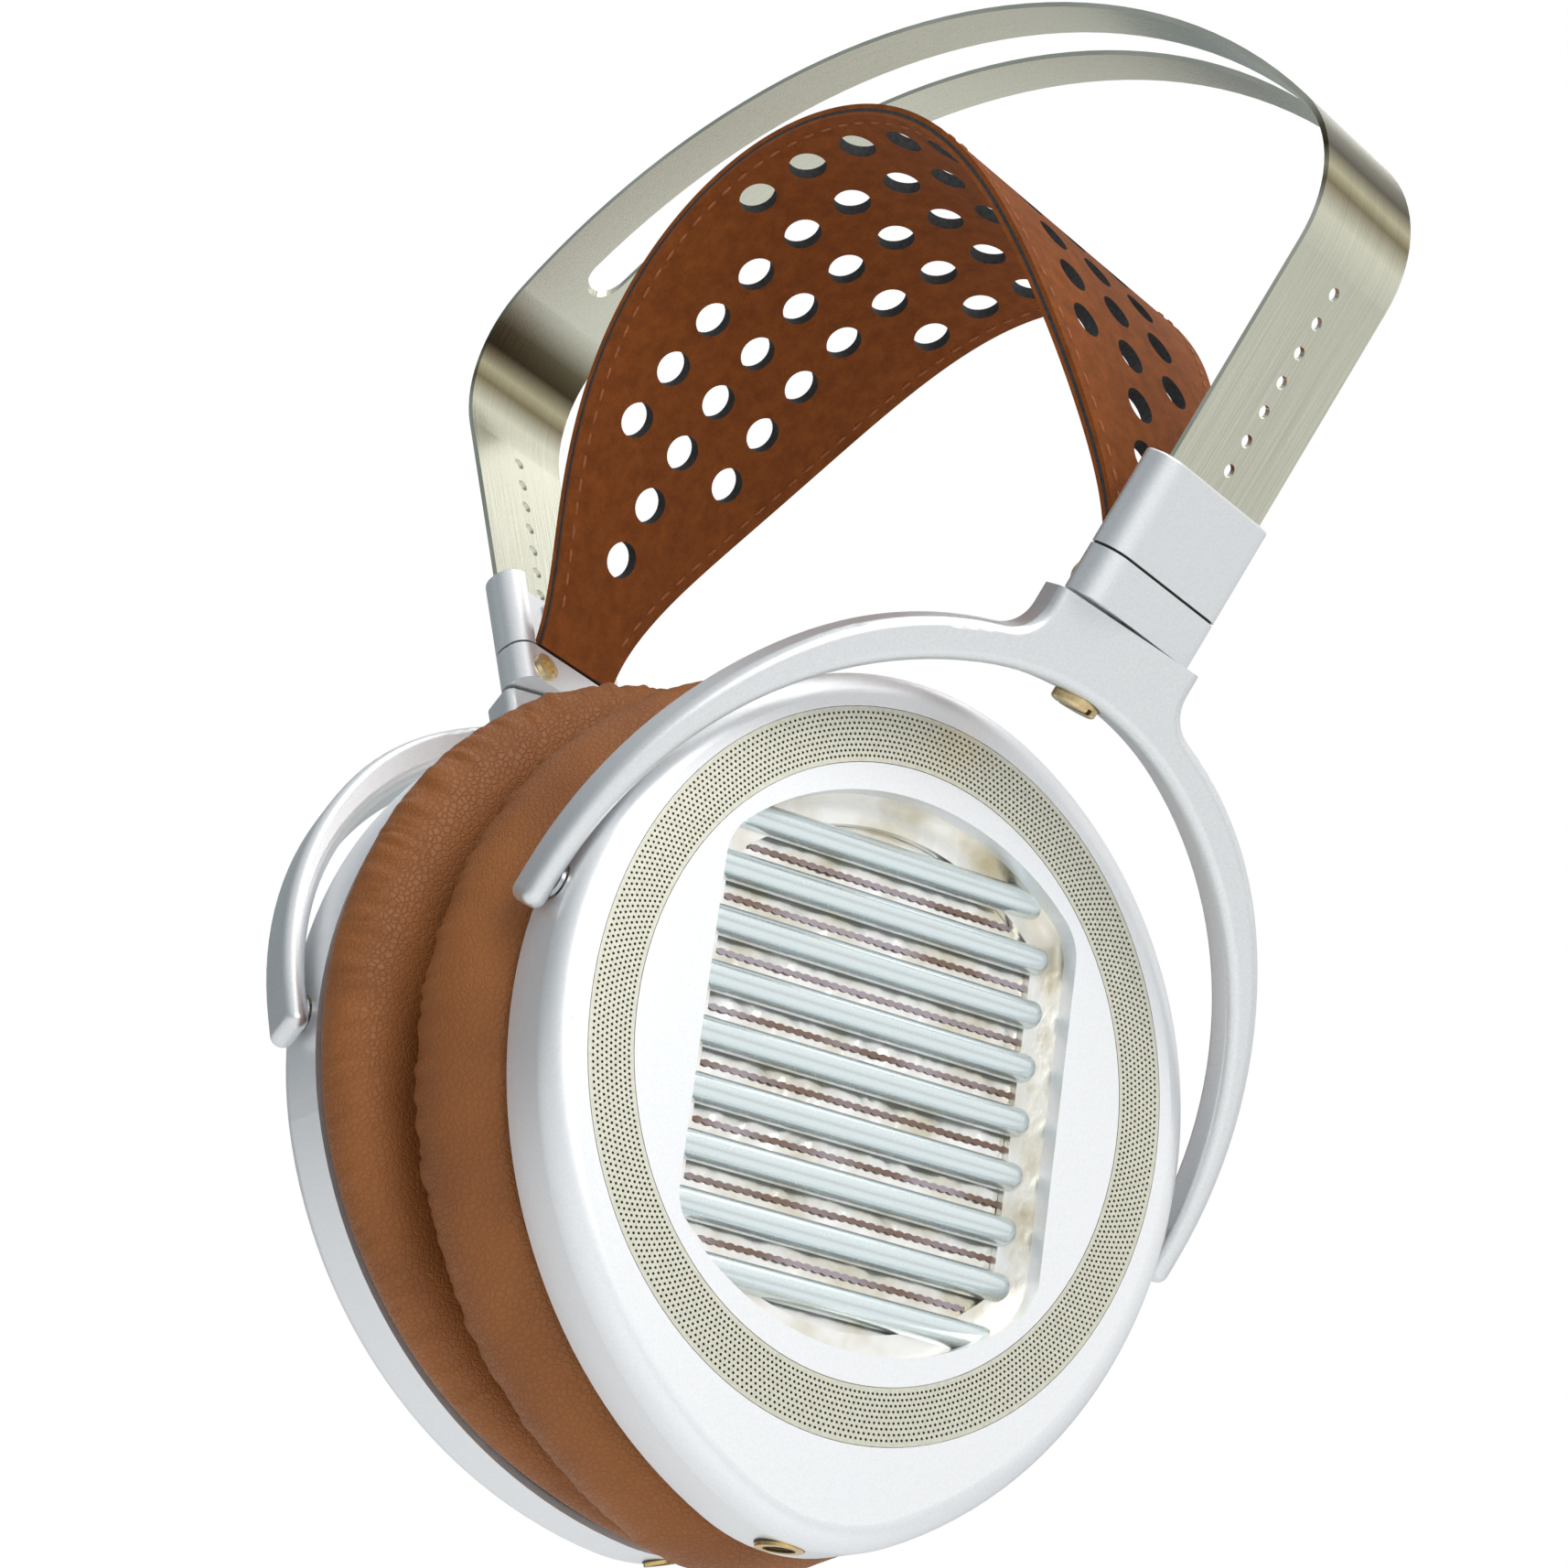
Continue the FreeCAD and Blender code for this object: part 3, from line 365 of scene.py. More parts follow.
CAD_LOOKS = {
    "headband_spring": "spring", "upper_block": "block", "lower_block": "block",
    # the seam shim and the swivel washer are painted black as gap shade
    "seam_shim": "black", "swivel_washer": "black", "swivel_bolt": "brass",
    "clamp_screw": "brass", "detent_ball": "steel", "detent_leaf": "steel",
    "yoke": "yoke", "pivot_pins": "steel", "cup_housing": "housing",
    "pivot_bushes": "brass", "driver_frame": "foil", "magnet_bars": "bars",
    "rear_frame": "housing", "rear_bars": "bars", "frame_screws": "steel",
    "pad_mount": "plastic", "pad_piping": "piping", "jack_socket": "plastic",
    "jack_collar": "gold", "head_strap": "suede_out", "strap_tail": "suede_in",
    "ear_pad": "leather", "grille_ring": "grille", "diaphragm": "foil", "traces": "track",
}


def paint(obj, look):
    obj.data.materials.clear()
    obj.data.materials.append(M[look].mat)


for node_name, node in NODES.items():
    stem_name = node_name.replace("_right", "").replace("_left", "")
    paint(node, CAD_LOOKS[stem_name])

# ---------------------------------------------------------------- light, floor and camera

FLOOR_LEVEL = -0.394


def area_light(name, place, target, size, power, colour=(1, 1, 1)):
    light = bpy.data.lights.new(name, "AREA")
    light.shape = "RECTANGLE"
    light.size, light.size_y = size
    light.energy = power
    light.color = colour
    obj = bpy.data.objects.new(name, light)
    obj.location = place
    direction = Vector(target) - obj.location
    obj.rotation_euler = direction.to_track_quat("-Z", "Y").to_euler()
    bpy.context.scene.collection.objects.link(obj)


def studio_walls(tree):
    """A white backdrop to the camera, and a softer room to the object: bright above, grey below."""
    nodes, links = tree.nodes, tree.links
    coords = nodes.new("ShaderNodeTexCoord")
    towards = nodes.new("ShaderNodeVectorMath")
    towards.operation = "DOT_PRODUCT"
    towards.inputs[1].default_value = Vector((0.62, 0.22, 0.75)).normalized()
    links.new(coords.outputs["Generated"], towards.inputs[0])
    height = nodes.new("ShaderNodeMapRange")
    height.inputs["From Min"].default_value = -1.0
    links.new(towards.outputs["Value"], height.inputs["Value"])
    room = nodes.new("ShaderNodeValToRGB")
    elements = room.color_ramp.elements
    for place in (0.42, 0.62):
        elements.new(place)
    greys = ((0.13, 0.14, 0.15), (0.26, 0.30, 0.32), (0.62, 0.64, 0.65), (0.95, 0.95, 0.94))
    for element, grey in zip(elements, greys):
        element.color = (*grey, 1)
    links.new(height.outputs["Result"], room.inputs["Fac"])
    path = nodes.new("ShaderNodeLightPath")
    mix = nodes.new("ShaderNodeMix")
    mix.data_type = "RGBA"
    colours = [i for i in mix.inputs if i.type == "RGBA"]
    links.new(path.outputs["Is Camera Ray"], mix.inputs[0])
    links.new(room.outputs["Color"], colours[0])
    colours[1].default_value = (1, 1, 1, 1)
    result = [o for o in mix.outputs if o.type == "RGBA"][0]
    links.new(result, nodes["Background"].inputs["Color"])


def make_stage():
    corners = [(x, y, FLOOR_LEVEL) for x, y in ((-8, -8), (8, -8), (8, 8), (-8, 8))]
    floor = new_piece("floor", corners, [(0, 1, 2, 3)], smooth=False)
    floor.data.materials.append(dull("floor", (0.90, 0.90, 0.90), (0.88, 0.88, 0.88), 0.9).mat)
    world = bpy.data.worlds.new("studio")
    world.use_nodes = True
    studio_walls(world.node_tree)
    bpy.context.scene.world = world
    area_light("key", (1.1, -0.5, 0.77), (0, 0, 0.09), (0.9, 0.9), 9)
    area_light("top", (0.1, 0.2, 1.27), (0, 0, 0.12), (1.2, 0.8), 5)
    bpy.context.scene.view_settings.view_transform = "Standard"


def make_camera():
    """The photograph's viewpoint: from low on the wearer's right, behind the cups."""
    right = Vector((0.75485, 0.62454, 0.20041))
    down = Vector((-0.10551, 0.41718, -0.90268))
    forward = Vector((-0.64736, 0.66024, 0.38080))
    camera = bpy.data.objects.new("camera", bpy.data.cameras.new("camera"))
    camera.data.lens = 105.02
    camera.data.sensor_width = 36
    camera.data.clip_start = 0.01
    basis = Matrix((right, -down, -forward)).transposed().to_4x4()
    camera.matrix_world = Matrix.Translation((0.4159, -0.4287, -0.1354)) @ basis
    bpy.context.scene.collection.objects.link(camera)
    bpy.context.scene.camera = camera


make_stage()
make_camera()

# ---------------------------------------------------------------- the cup's outline

EGG_HALF, EGG_TOP, EGG_SHOULDER, EGG_SIDE, EGG_FOOT = 50.6, 55.5, 57.0, 68.0, 27.0


def egg_arcs():
    """The cup's outline as arcs: (centre y, centre z, radius, start, end), anticlockwise."""
    shift = EGG_SHOULDER - EGG_HALF
    top = (EGG_SHOULDER ** 2 - shift ** 2 - EGG_TOP ** 2) / (2 * (EGG_SHOULDER - EGG_TOP))
    turn = math.atan2(EGG_TOP - top, shift)
    side_shift = EGG_SIDE - EGG_HALF
    drop = math.sqrt((EGG_SIDE - EGG_FOOT) ** 2 - side_shift ** 2)
    touch = math.atan2(drop, side_shift)
    return [
        (-shift, 0, EGG_SHOULDER, 0, turn),
        (0, EGG_TOP - top, top, turn, math.pi - turn),
        (shift, 0, EGG_SHOULDER, math.pi - turn, math.pi),
        (side_shift, 0, EGG_SIDE, math.pi, math.pi + touch),
        (0, -drop, EGG_FOOT, math.pi + touch, 2 * math.pi - touch),
        (-side_shift, 0, EGG_SIDE, 2 * math.pi - touch, 2 * math.pi),
    ]


def egg_stations(count):
    """Evenly spaced stations round the outline: (centre, radius, outward direction, run)."""
    arcs = egg_arcs()
    total = sum(r * (b - a) for _, _, r, a, b in arcs)
    stations = []
    for k in range(count):
        run = total * k / count
        left = run
        for cy, cz, r, a, b in arcs:
            if left <= r * (b - a):
                break
            left -= r * (b - a)
        angle = a + left / r
        stations.append((Vector((cy, cz)), r, Vector((math.cos(angle), math.sin(angle))), run))
    return stations


# ---------------------------------------------------------------- ear pads

MOUTH_HALF, MOUTH_HEIGHT = 27.0, 34.0
CONTACT = -20.7          # the nominal depth of the plane where the two pads meet
PAD_BACK = -4.75
PAD_BULGE = {1: 4.8, -1: 0.4}     # how far each pad's rear swells past the rim
SEAM_SHIFT = -4.2                 # the pads meet this far towards the wearer's left ear
PAD_STATIONS = 700
REAR, FOOT, PLEATS = (math.radians(a) for a in (185, 285, 125))   # places round the cup
PAD_SAG, FOOT_TUCK = 0.35, 1.6

# The pad's section: how far inside the cup's outline, or outside the mouth, and how deep.
PAD_OUTER = [(7.0, PAD_BACK), (4.6, -4.85), (3.2, -5.3), (1.3, -6.7), (-0.5, -8.9), (-1.5, -11.5),
             (-1.7, -14.0), (-1.2, -16.3), (0.0, -18.3), (1.9, -19.7), (4.6, -20.5), (8.5, CONTACT)]
PAD_INNER = [(6.5, CONTACT), (3.4, -20.0), (1.2, -18.2), (0.1, -15.2), (0.0, -11.6), (0.8, -8.0),
             (2.6, -5.8), (6.0, -4.9)]


def smooth_profile(points, steps):
    """Catmull-Rom points through the given ones."""
    out = []
    for i in range(len(points) - 1):
        p0 = Vector(points[max(i - 1, 0)])
        p1, p2 = Vector(points[i]), Vector(points[i + 1])
        p3 = Vector(points[min(i + 2, len(points) - 1)])
        for k in range(steps):
            t = k / steps
            out.append(0.5 * ((2 * p1) + (p2 - p0) * t + (2 * p0 - 5 * p1 + 4 * p2 - p3) * t * t
                              + (3 * p1 - p0 - 3 * p2 + p3) * t ** 3))
    out.append(Vector(points[-1]))
    return out


def contact_depth(side, y, z):
    """How deep the plane between the two pads lies at this place of the cup."""
    outward = [(face_frame(s).to_3x3() @ Vector((1, 0, 0))) for s in (1, -1)]
    normal = (outward[0] + outward[1]).normalized()
    local = face_frame(side) @ Matrix.Diagonal((side, 1, 1, 1))
    level = normal.dot(local @ Vector((0, y, z)) - Vector((0, 0, EAR_LEVEL))) - SEAM_SHIFT
    return -level / normal.dot(local.to_3x3() @ Vector((1, 0, 0)))


def pleat(run, angle, depth, seed):
    """How far a gathered fold stands in or out: strongest towards the top and rear."""
    place = 0.5 + 0.5 * math.cos(angle - PLEATS)
    strength = 0.25 + 0.75 * place ** 1.5
    near_seam = math.exp(-((depth + 17.5) / 4.2) ** 2)
    ridge = 1 - abs(noise.noise(Vector((run / 2.1, seed, 0.09 * depth)))) * 2.8
    fine = noise.noise(Vector((run / 1.2, seed + 5, 0.16 * depth)))
    return near_seam * strength * (0.75 * ridge + 0.40 * fine)


def pad_swell(side, angle, out):
    """How far the pad stands past its section: a slow sag, a swollen rear and a tucked foot."""
    sag = PAD_SAG * noise.noise(Vector((3.1 * out.x, 3.1 * out.y, 7.0 * side)))
    sag += PAD_BULGE[side] * (0.5 + 0.5 * math.cos(angle - REAR)) ** 1.4
    sag -= FOOT_TUCK * max(0.0, math.cos(angle - FOOT))
    return sag


def make_pad(side_name, side):
    stations = egg_stations(PAD_STATIONS)
    outer = smooth_profile(PAD_OUTER, 4)
    inner = smooth_profile(PAD_INNER, 3)
    verts = []
    for centre, radius, out, run in stations:
        angle = math.atan2(out.y, out.x)
        reach = math.hypot(MOUTH_HALF * out.x, MOUTH_HEIGHT * out.y)
        mouth = Vector((MOUTH_HALF ** 2 * out.x, MOUTH_HEIGHT ** 2 * out.y)) / reach
        sag = pad_swell(side, angle, out)
        for inset, depth in outer:
            fold = pleat(run, angle, depth, 11.0 * side)
            swell = sag * max(0.0, 1 - ((depth + 13.5) / 9.0) ** 2)
            p = centre + out * (radius - inset + swell - fold * 0.8)
            verts.append((depth, p.x, p.y))
        for outset, depth in inner:
            p = mouth + out * outset
            verts.append((depth, p.x, p.y))
    slope = [contact_depth(side, y, z) for y, z in ((0, 0), (1, 0), (0, 1))]
    for i, (x, y, z) in enumerate(verts):
        plane = slope[0] + (slope[1] - slope[0]) * y + (slope[2] - slope[0]) * z
        share = (min(x, PAD_BACK) - PAD_BACK) / (CONTACT - PAD_BACK)
        verts[i] = (PAD_BACK + (plane + 0.02 - PAD_BACK) * min(share, 1.0), y, z)
    cols = len(outer) + len(inner)
    pad = new_piece(f"leather_pad_{side_name}", verts,
                    grid_faces(len(stations), cols, wrap_rows=True, wrap_cols=True))
    pad.data.transform(to_row(face_frame(side), side))
    fix_normals(pad.data)
    paint(pad, "leather")
    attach(pad, f"cup_{side_name}")
    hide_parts(f"ear_pad_{side_name}")
    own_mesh(pad)


WELT_INSET, WELT_DEPTH = 1.9, -5.45      # its middle, inside the cup's outline and behind its face
WELT_WIDE, WELT_DEEP = 1.25, 0.85        # its half sizes


def make_welt(side_name, side):
    """The dark rolled welt between the cup's rim and the pad."""
    around = 10
    stations = egg_stations(240)
    verts = []
    for centre, radius, out, _ in stations:
        for k in range(around):
            turn = 2 * math.pi * k / around
            p = centre + out * (radius - WELT_INSET + WELT_WIDE * math.cos(turn))
            verts.append((WELT_DEPTH + WELT_DEEP * math.sin(turn), p.x, p.y))
    welt = new_piece(f"pad_welt_{side_name}", verts,
                     grid_faces(len(stations), around, wrap_rows=True, wrap_cols=True))
    welt.data.transform(to_row(face_frame(side), side))
    fix_normals(welt.data)
    paint(welt, "piping")
    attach(welt, f"cup_{side_name}")
    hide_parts(f"pad_piping_{side_name}")


# ---------------------------------------------------------------- perforated ring

RING_OUT, RING_IN = (45.1, 50.0), (38.4, 42.3)
RING_FACE, RING_THICK = 7.0, 0.5
RING_ROWS, RING_BORDER = 9, 0.42
RING_WIDTH = 7.2         # on average
HOLE_RADIUS = 0.2


def ring_point(turn, share):
    """A point of the ring at this angle, from its inner edge (0) to its outer edge (1)."""
    a = RING_IN[0] + (RING_OUT[0] - RING_IN[0]) * share
    b = RING_IN[1] + (RING_OUT[1] - RING_IN[1]) * share
    return Vector((a * math.cos(turn), b * math.sin(turn)))


def make_grille(side_name, side):
    """A ring with staggered rows of small round holes, each cut through."""
    count = 352
    verts, faces, index = [], [], {}

    def vert(key, x, p):
        if key not in index:
            index[key] = len(verts)
            verts.append((x, p.x, p.y))
        return index[key]

    border = RING_BORDER / RING_WIDTH
    levels = [border + (1 - 2 * border) * r / RING_ROWS for r in range(RING_ROWS + 1)]
    floor_x = RING_FACE - RING_THICK
    turns = [2 * math.pi * k / (2 * count) for k in range(2 * count)]

    def on_level(level, k, x, tag):
        k %= 2 * count
        return vert((tag, level, k), x, ring_point(turns[k], level))

    for r in range(RING_ROWS):
        low, high = levels[r], levels[r + 1]
        middle = (low + high) / 2
        for c in range(count):
            k = 2 * c + (r % 2)
            centre = ring_point(2 * math.pi * (k + 1) / (2 * count), middle)
            rim = [on_level(low, k, RING_FACE, "t"), on_level(low, k + 1, RING_FACE, "t"),
                   on_level(low, k + 2, RING_FACE, "t"),
                   vert(("m", r, (k + 2) % (2 * count)), RING_FACE,
                        ring_point(2 * math.pi * (k + 2) / (2 * count), middle)),
                   on_level(high, k + 2, RING_FACE, "t"), on_level(high, k + 1, RING_FACE, "t"),
                   on_level(high, k, RING_FACE, "t"),
                   vert(("m", r, k % (2 * count)), RING_FACE,
                        ring_point(2 * math.pi * k / (2 * count), middle))]
            top, bottom = [], []
            for v in rim:
                p = Vector(verts[v][1:])
                spot = centre + (p - centre).normalized() * HOLE_RADIUS
                top.append(len(verts))
                verts.append((RING_FACE, spot.x, spot.y))
                bottom.append(len(verts))
                verts.append((floor_x, spot.x, spot.y))
            for i in range(8):
                j = (i + 1) % 8
                faces.append((rim[i], rim[j], top[j], top[i]))
                faces.append((top[i], top[j], bottom[j], bottom[i]))
    for k in range(2 * count):
        for share, level in ((0.0, levels[0]), (1.0, levels[-1])):
            a, b = on_level(share, k, RING_FACE, "t"), on_level(share, k + 1, RING_FACE, "t")
            c, d = on_level(level, k + 1, RING_FACE, "t"), on_level(level, k, RING_FACE, "t")
            faces.append((a, b, c, d))
            e, f = on_level(share, k, floor_x, "b"), on_level(share, k + 1, floor_x, "b")
            faces.append((a, e, f, b))
    ring = new_piece(f"perforated_ring_{side_name}", verts, faces, smooth=False)
    ring.data.transform(to_row(face_frame(side), side))
    fix_normals(ring.data)
    paint(ring, "grille")
    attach(ring, f"cup_{side_name}")
    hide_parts(f"grille_ring_{side_name}")

    # painted shade: a black sheet at the foot of the ring's holes, standing in for the shade inside
    # them
    hole_shade_sheet_verts = []
    for k in range(180):
        turn = 2 * math.pi * k / 180
        for share in (0.03, 0.97):
            p = ring_point(turn, share)
            hole_shade_sheet_verts.append((floor_x + 0.03, p.x, p.y))
    hole_shade_sheet = new_piece(f"ring_hole_shade_sheet_{side_name}", hole_shade_sheet_verts,
                        grid_faces(180, 2, wrap_rows=True), smooth=False)
    hole_shade_sheet.data.transform(to_row(face_frame(side), side))
    paint(hole_shade_sheet, "black")
    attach(hole_shade_sheet, f"cup_{side_name}")


# ---------------------------------------------------------------- foil and tracks

WINDOW_RADIUS = 38.2
BAR_PITCH, BAR_WIDTH, BAR_LENGTH, BARS = 7.7, 5.0, 27.3, 9
ROD_HALF, ROD_FOOT, ROD_RISE = 2.05, 0.75, 2.9
ROD_REAR, ROD_FRONT, ROD_OUTER = -30.0, 27.2, 25.5      # how far the rods reach along y


def make_rods(side_name, side):
    """The nine half-round rods, with round ends; their rear ends run under the cup's face."""
    verts, faces = [], []
    around = 18
    for i in range(BARS):
        height = (i - (BARS - 1) / 2) * BAR_PITCH
        outermost = i in (0, BARS - 1)
        low, high = (-ROD_OUTER, ROD_OUTER) if outermost else (ROD_REAR, ROD_FRONT)
        stations = [low + ROD_HALF * (1 - math.cos(math.pi / 2 * k / 8)) for k in range(9)]
        stations += [low + (high - low) * k / 12 for k in range(1, 12)]
        stations += [high - (y - low) for y in stations[8::-1]]
        first = len(verts)
        for y in stations:
            gap = max(ROD_HALF - min(y - low, high - y), 0.0) / ROD_HALF
            size = max(math.sqrt(1 - gap * gap), 0.06)
            for k in range(around):
                turn = math.pi * k / (around - 1)
                verts.append((ROD_FOOT + ROD_RISE * size * math.sin(turn) ** 0.8, y,
                              height + ROD_HALF * size * math.cos(turn)))
        rows = len(stations)
        faces += [tuple(v + first for v in f) for f in grid_faces(rows, around, wrap_cols=True)]
        faces.append(tuple(first + k for k in range(around)))
        faces.append(tuple(first + (rows - 1) * around + k for k in range(around)))
    rods = new_piece(f"magnet_rods_{side_name}", verts, faces)
    rods.data.transform(to_row(face_frame(side), side))
    fix_normals(rods.data)
    rods.data.set_sharp_from_angle(angle=math.radians(50))
    paint(rods, "bars")
    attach(rods, f"cup_{side_name}")
    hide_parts(f"magnet_bars_{side_name}")


FOIL_HALF_WIDTH, FOIL_HALF_HEIGHT = 37.9, 40.9


def foil_height(y, z, seed):
    """Crinkles: sharp creases over soft dents."""
    crease = noise.noise(Vector((y / 5.0, z / 5.0, seed)))
    fine = noise.noise(Vector((y / 1.9, z / 1.9, seed + 3)))
    return -0.42 * abs(crease) - 0.15 * abs(fine)


def make_foil(side_name, side):
    nr, na = 70, 220
    verts = [(-0.1, 0, 0)]
    faces = []
    for r in range(1, nr + 1):
        share = r / nr
        for k in range(na):
            turn = 2 * math.pi * k / na
            y = FOIL_HALF_WIDTH * share * math.cos(turn)
            z = FOIL_HALF_HEIGHT * share * math.sin(turn)
            verts.append((-0.02 + foil_height(y, z, 4.0 * side) * (1 - share ** 8), y, z))
    for k in range(na):
        faces.append((0, 1 + k, 1 + (k + 1) % na))
    for r in range(nr - 1):
        for k in range(na):
            a = 1 + r * na + k
            b = 1 + r * na + (k + 1) % na
            faces.append((a, b, b + na, a + na))
    foil = new_piece(f"crinkled_foil_{side_name}", verts, faces)
    foil.data.transform(to_row(face_frame(side), side))
    paint(foil, "foil")
    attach(foil, f"cup_{side_name}")
    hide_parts(f"diaphragm_{side_name}")


TRACK_STEP, TRACK_SCALLOP = 0.12, 1.5
TRACK_LOW, TRACK_HIGH = 0.06, 0.18       # over the foil's plane


def make_tracks(side_name, side):
    """Eight scalloped conductor tracks lying just over the foil."""
    verts, faces = [], []
    heights = [(i - (BARS - 1) / 2) * BAR_PITCH for i in range(BARS)]
    for low, high in zip(heights, heights[1:]):
        middle = (low + high) / 2
        edge = max(abs(low), abs(high)) + BAR_WIDTH / 2
        length = min(BAR_LENGTH, math.sqrt(WINDOW_RADIUS ** 2 - edge ** 2) + 4.0) - 1.2
        steps = int(length * 2 / TRACK_STEP)
        first = len(verts)
        for i in range(steps + 1):
            y = -length + 2 * length * i / steps
            half = 0.22 + 0.22 * abs(math.sin(math.pi * y / TRACK_SCALLOP))
            for x in (TRACK_LOW, TRACK_HIGH):
                verts.append((x, y, middle - half))
                verts.append((x, y, middle + half))
        for i in range(steps):
            a = first + 4 * i
            b = a + 4
            faces += [(a, a + 1, b + 1, b), (a + 2, b + 2, b + 3, a + 3),
                      (a, b, b + 2, a + 2), (a + 1, a + 3, b + 3, b + 1)]
        last = first + 4 * steps
        faces += [(first, first + 2, first + 3, first + 1), (last, last + 1, last + 3, last + 2)]
    tracks = new_piece(f"conductor_tracks_{side_name}", verts, faces, smooth=False)
    tracks.data.transform(to_row(face_frame(side), side))
    fix_normals(tracks.data)
    paint(tracks, "track")
    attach(tracks, f"cup_{side_name}")
    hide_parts(f"traces_{side_name}")


# ---------------------------------------------------------------- strap

STRAP_THICK = 1.8
CORE_LOW, CORE_HIGH = -0.35, 0.2      # the dark layer between the two layers of suede
STRAP_MID, STRAP_END = 58.0, 16.0
STRAP_SHIFT, STRAP_HUNG_END = 3.0, 0.845
HOLE_PITCH_ALONG, HOLE_PITCH_ACROSS, STRAP_HOLE = 9.6, 10.7, 2.85
HOLE_COLUMNS = (2, 2, 2, 1, 1, 1, 1, 0, 0)     # rows each side of the middle, from the crown out


def strap_end():
    m = stem_frame(1)
    return m @ Vector((-4.1, 0, 77.1))


STRAP_CROWN = EAR_LEVEL + 141.3
STRAP_CURVE = [Vector((0, 0, STRAP_CROWN)), Vector((28.9, 0, STRAP_CROWN)),
               Vector((48.5, 0, EAR_LEVEL + 103.6)), strap_end()]


def bezier(t):
    a, b, c, d = STRAP_CURVE
    s = 1 - t
    return a * s ** 3 + b * (3 * s * s * t) + c * (3 * s * t * t) + d * t ** 3


STEPS = 400
LENGTHS = [0.0]
for step in range(STEPS):
    LENGTHS.append(LENGTHS[-1] + (bezier((step + 1) / STEPS) - bezier(step / STEPS)).length)
HALF_LENGTH = LENGTHS[-1]


def strap_frame(run):
    """The point at this run along the strap from the crown, and the upward normal there."""
    run = min(max(run, 0.0), HALF_LENGTH)
    index = min(int(run / HALF_LENGTH * STEPS), STEPS - 1)
    while index > 0 and LENGTHS[index] > run:
        index -= 1
    while index < STEPS - 1 and LENGTHS[index + 1] < run:
        index += 1
    t = (index + (run - LENGTHS[index]) / (LENGTHS[index + 1] - LENGTHS[index])) / STEPS
    along = bezier(min(t + 0.004, 1.0)) - bezier(max(t - 0.004, 0.0))
    along.normalize()
    return bezier(t), Vector((-along.z, 0, along.x))


def strap_half_width(run):
    share = min(run / HALF_LENGTH, 1.0)
    fall = share ** (1.3 + 0.7 * share)
    return (STRAP_END + (STRAP_MID - STRAP_END) * (0.5 + 0.5 * math.cos(math.pi * fall))) / 2


def strap_shift(run):
    """Forward at the crown, and centred before the strap enters its block."""
    share = min(run / HALF_LENGTH / STRAP_HUNG_END, 1.0)
    return STRAP_SHIFT * (1 - share ** 2) ** 2


def bend_strap(mesh, side):
    """Flat strap coordinates (run, across, height) onto the hanging curve."""
    for v in mesh.vertices:
        run, across, height = v.co
        point, up = strap_frame(run)
        spot = point + up * height + Vector((0, across + strap_shift(max(run, 0.0)), 0))
        v.co = Vector((side * spot.x, spot.y, spot.z)) * MM
    mesh.update()
    fix_normals(mesh)


def hole_places():
    places = []
    for column, rows in enumerate(HOLE_COLUMNS):
        for j in range(-rows, rows + 1):
            places.append((column * HOLE_PITCH_ALONG, j * HOLE_PITCH_ACROSS))
    return places


def flat_strap(name):
    """The half strap laid flat: a tapered plate with three layers along its edge."""
    rows, cols = 150, 28
    levels = (-STRAP_THICK / 2, CORE_LOW, CORE_HIGH, STRAP_THICK / 2)
    verts, faces = [], []
    runs = [HALF_LENGTH * i / rows for i in range(rows + 1)]
    for height in (levels[0], levels[-1]):
        for run in runs:
            half = strap_half_width(run)
            for c in range(cols + 1):
                verts.append((run, half * (2 * c / cols - 1), height))
    sheet = (rows + 1) * (cols + 1)
    faces += grid_faces(rows + 1, cols + 1)
    faces += [tuple(v + sheet for v in f) for f in grid_faces(rows + 1, cols + 1)]
    edge = [i * (cols + 1) for i in range(rows + 1)]
    edge += [rows * (cols + 1) + c for c in range(1, cols + 1)]
    edge += [i * (cols + 1) + cols for i in range(rows - 1, -1, -1)]
    edge += [c for c in range(cols - 1, 0, -1)]
    rings = [edge]
    for level, pull in ((levels[1], 0.12), (levels[2], 0.12)):
        ring = []
        for v in edge:
            run, across, _ = verts[v]
            half = strap_half_width(run)
            ring.append(len(verts))
            verts.append((run, across * (1 - pull / half), level))
        rings.append(ring)
    rings.append([v + sheet for v in edge])
    count = len(edge)
    for low, high in zip(rings, rings[1:]):
        for i in range(count):
            j = (i + 1) % count
            faces.append((low[i], low[j], high[j], high[i]))
    return new_piece(name, verts, faces, smooth=False)


def punch(obj, places):
    """Cut round holes through the flat strap."""
    verts, faces = [], []
    around = 28
    for run, across in places:
        first = len(verts)
        for height in (-3.0, 3.0):
            for k in range(around):
                turn = 2 * math.pi * k / around
                verts.append((run + STRAP_HOLE * math.cos(turn),
                              across + STRAP_HOLE * math.sin(turn), height))
        for k in range(around):
            j = (k + 1) % around
            faces.append((first + k, first + j, first + around + j, first + around + k))
        faces.append(tuple(first + k for k in range(around)))
        faces.append(tuple(first + around + k for k in range(around)))
    cutter = new_piece("cutter", verts, faces, smooth=False)
    modifier = obj.modifiers.new("holes", "BOOLEAN")
    modifier.operation = "DIFFERENCE"
    modifier.solver = "EXACT"
    modifier.object = cutter
    bpy.context.view_layer.update()
    evaluated = obj.evaluated_get(bpy.context.evaluated_depsgraph_get())
    mesh = bpy.data.meshes.new_from_object(evaluated)
    obj.modifiers.clear()
    obj.data = mesh
    bpy.data.objects.remove(cutter)


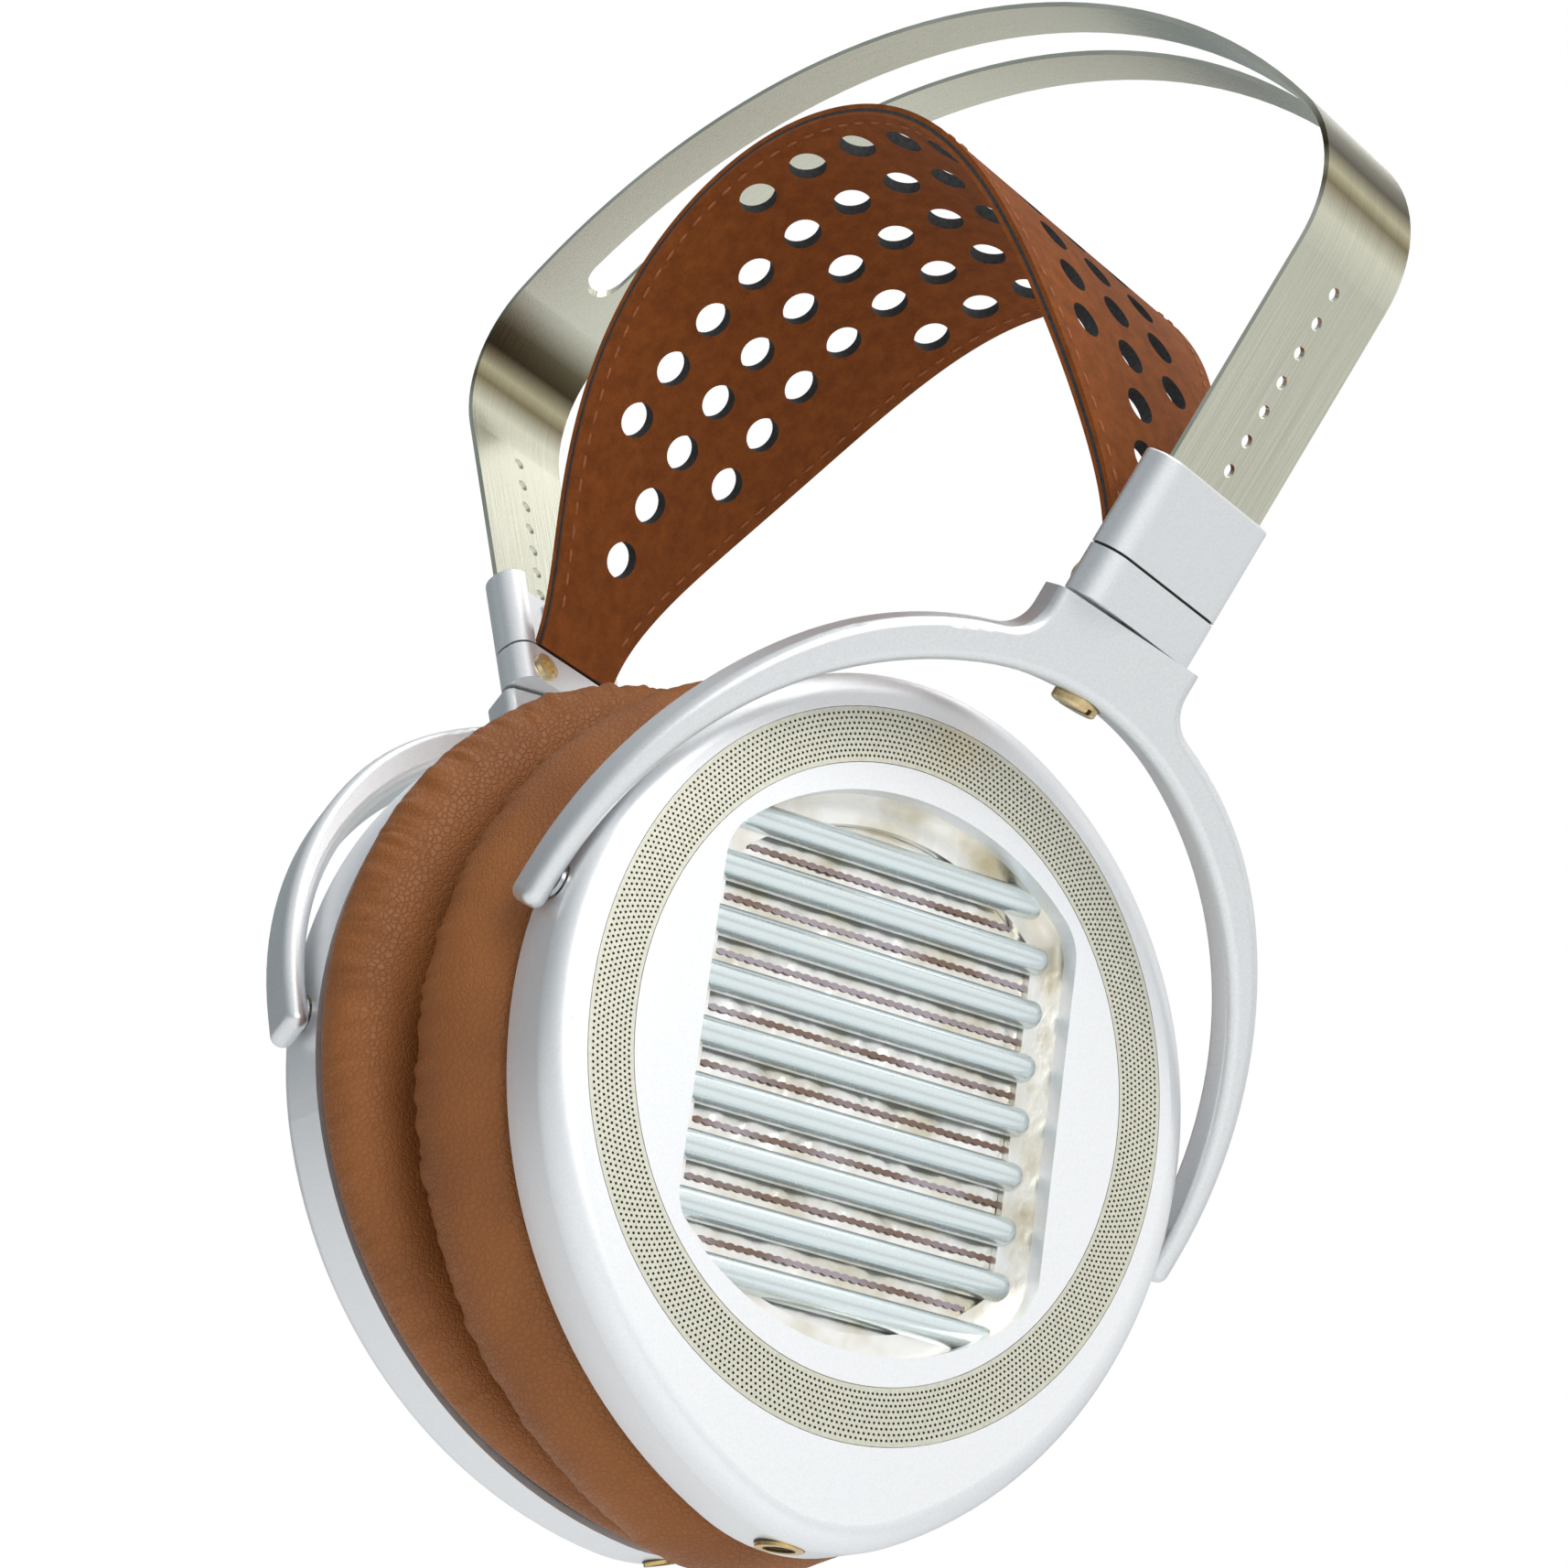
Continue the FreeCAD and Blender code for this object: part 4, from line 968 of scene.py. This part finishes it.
def make_half_strap(side_name, side):
    strap = flat_strap(f"suede_strap_{side_name}")
    punch(strap, hole_places())
    mesh = strap.data
    mesh.materials.clear()
    for look in ("suede_in", "suede_out", "core"):
        mesh.materials.append(M[look].mat)
    for face in mesh.polygons:
        run, across, height = face.center
        face.use_smooth = True
        if face.normal.z > 0.7:
            face.material_index = 1
        elif face.normal.z < -0.7:
            face.material_index = 0
        else:
            # the hole walls take the dark core colour over their whole depth, painted shade inside
            # the holes; on the outer edge only the middle band is the dark core layer
            shaded_hole_wall = abs(across) < strap_half_width(run) - 0.6 and 0.3 < run < HALF_LENGTH - 0.6
            middle = CORE_LOW < height < CORE_HIGH
            face.material_index = 2 if shaded_hole_wall or middle else (1 if height > 0 else 0)
    bend_strap(mesh, side)
    mesh.set_sharp_from_angle(angle=math.radians(35))
    blend_to_slider(strap)
    return strap


def blend_to_slider(piece):
    start, _ = strap_frame(HALF_LENGTH * 0.45)
    end, _ = strap_frame(HALF_LENGTH * 0.93)
    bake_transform(piece)


def make_stitches(side_name, side):
    """Short raised stitches just inside both edges, on both faces."""
    verts, faces = [], []
    length, pitch, radius = 2.1, 3.3, 0.22
    count = int((HALF_LENGTH - 3) / pitch)
    around, lengthwise = 6, 6
    for face in (-1, 1):
        for edge in (-1, 1):
            for i in range(count):
                start = 0.6 + i * pitch
                first = len(verts)
                for a in range(lengthwise + 1):
                    share = a / lengthwise
                    run = start + length * share
                    across = edge * (strap_half_width(run) - 2.1)
                    fat = radius * math.sqrt(max(1 - (2 * share - 1) ** 4, 0.02))
                    for k in range(around):
                        turn = 2 * math.pi * k / around
                        verts.append((run, across + 1.2 * fat * math.cos(turn),
                                      face * (STRAP_THICK / 2 + 0.02 + fat * math.sin(turn))))
                for a in range(lengthwise):
                    for k in range(around):
                        j = (k + 1) % around
                        p, q = first + a * around, first + (a + 1) * around
                        faces.append((p + k, p + j, q + j, q + k))
                faces.append(tuple(first + k for k in range(around)))
                faces.append(tuple(first + lengthwise * around + k for k in range(around)))
    stitches = new_piece(f"stitching_{side_name}", verts, faces)
    bend_strap(stitches.data, side)
    paint(stitches, "thread")
    blend_to_slider(stitches)


for side_label, side_sign in SIDES:
    make_pad(side_label, side_sign)
    make_welt(side_label, side_sign)
    make_grille(side_label, side_sign)
    make_rods(side_label, side_sign)
    make_foil(side_label, side_sign)
    make_tracks(side_label, side_sign)
    half_strap = make_half_strap(side_label, side_sign)
    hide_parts("head_strap", f"strap_tail_{side_label}")
    make_stitches(side_label, side_sign)
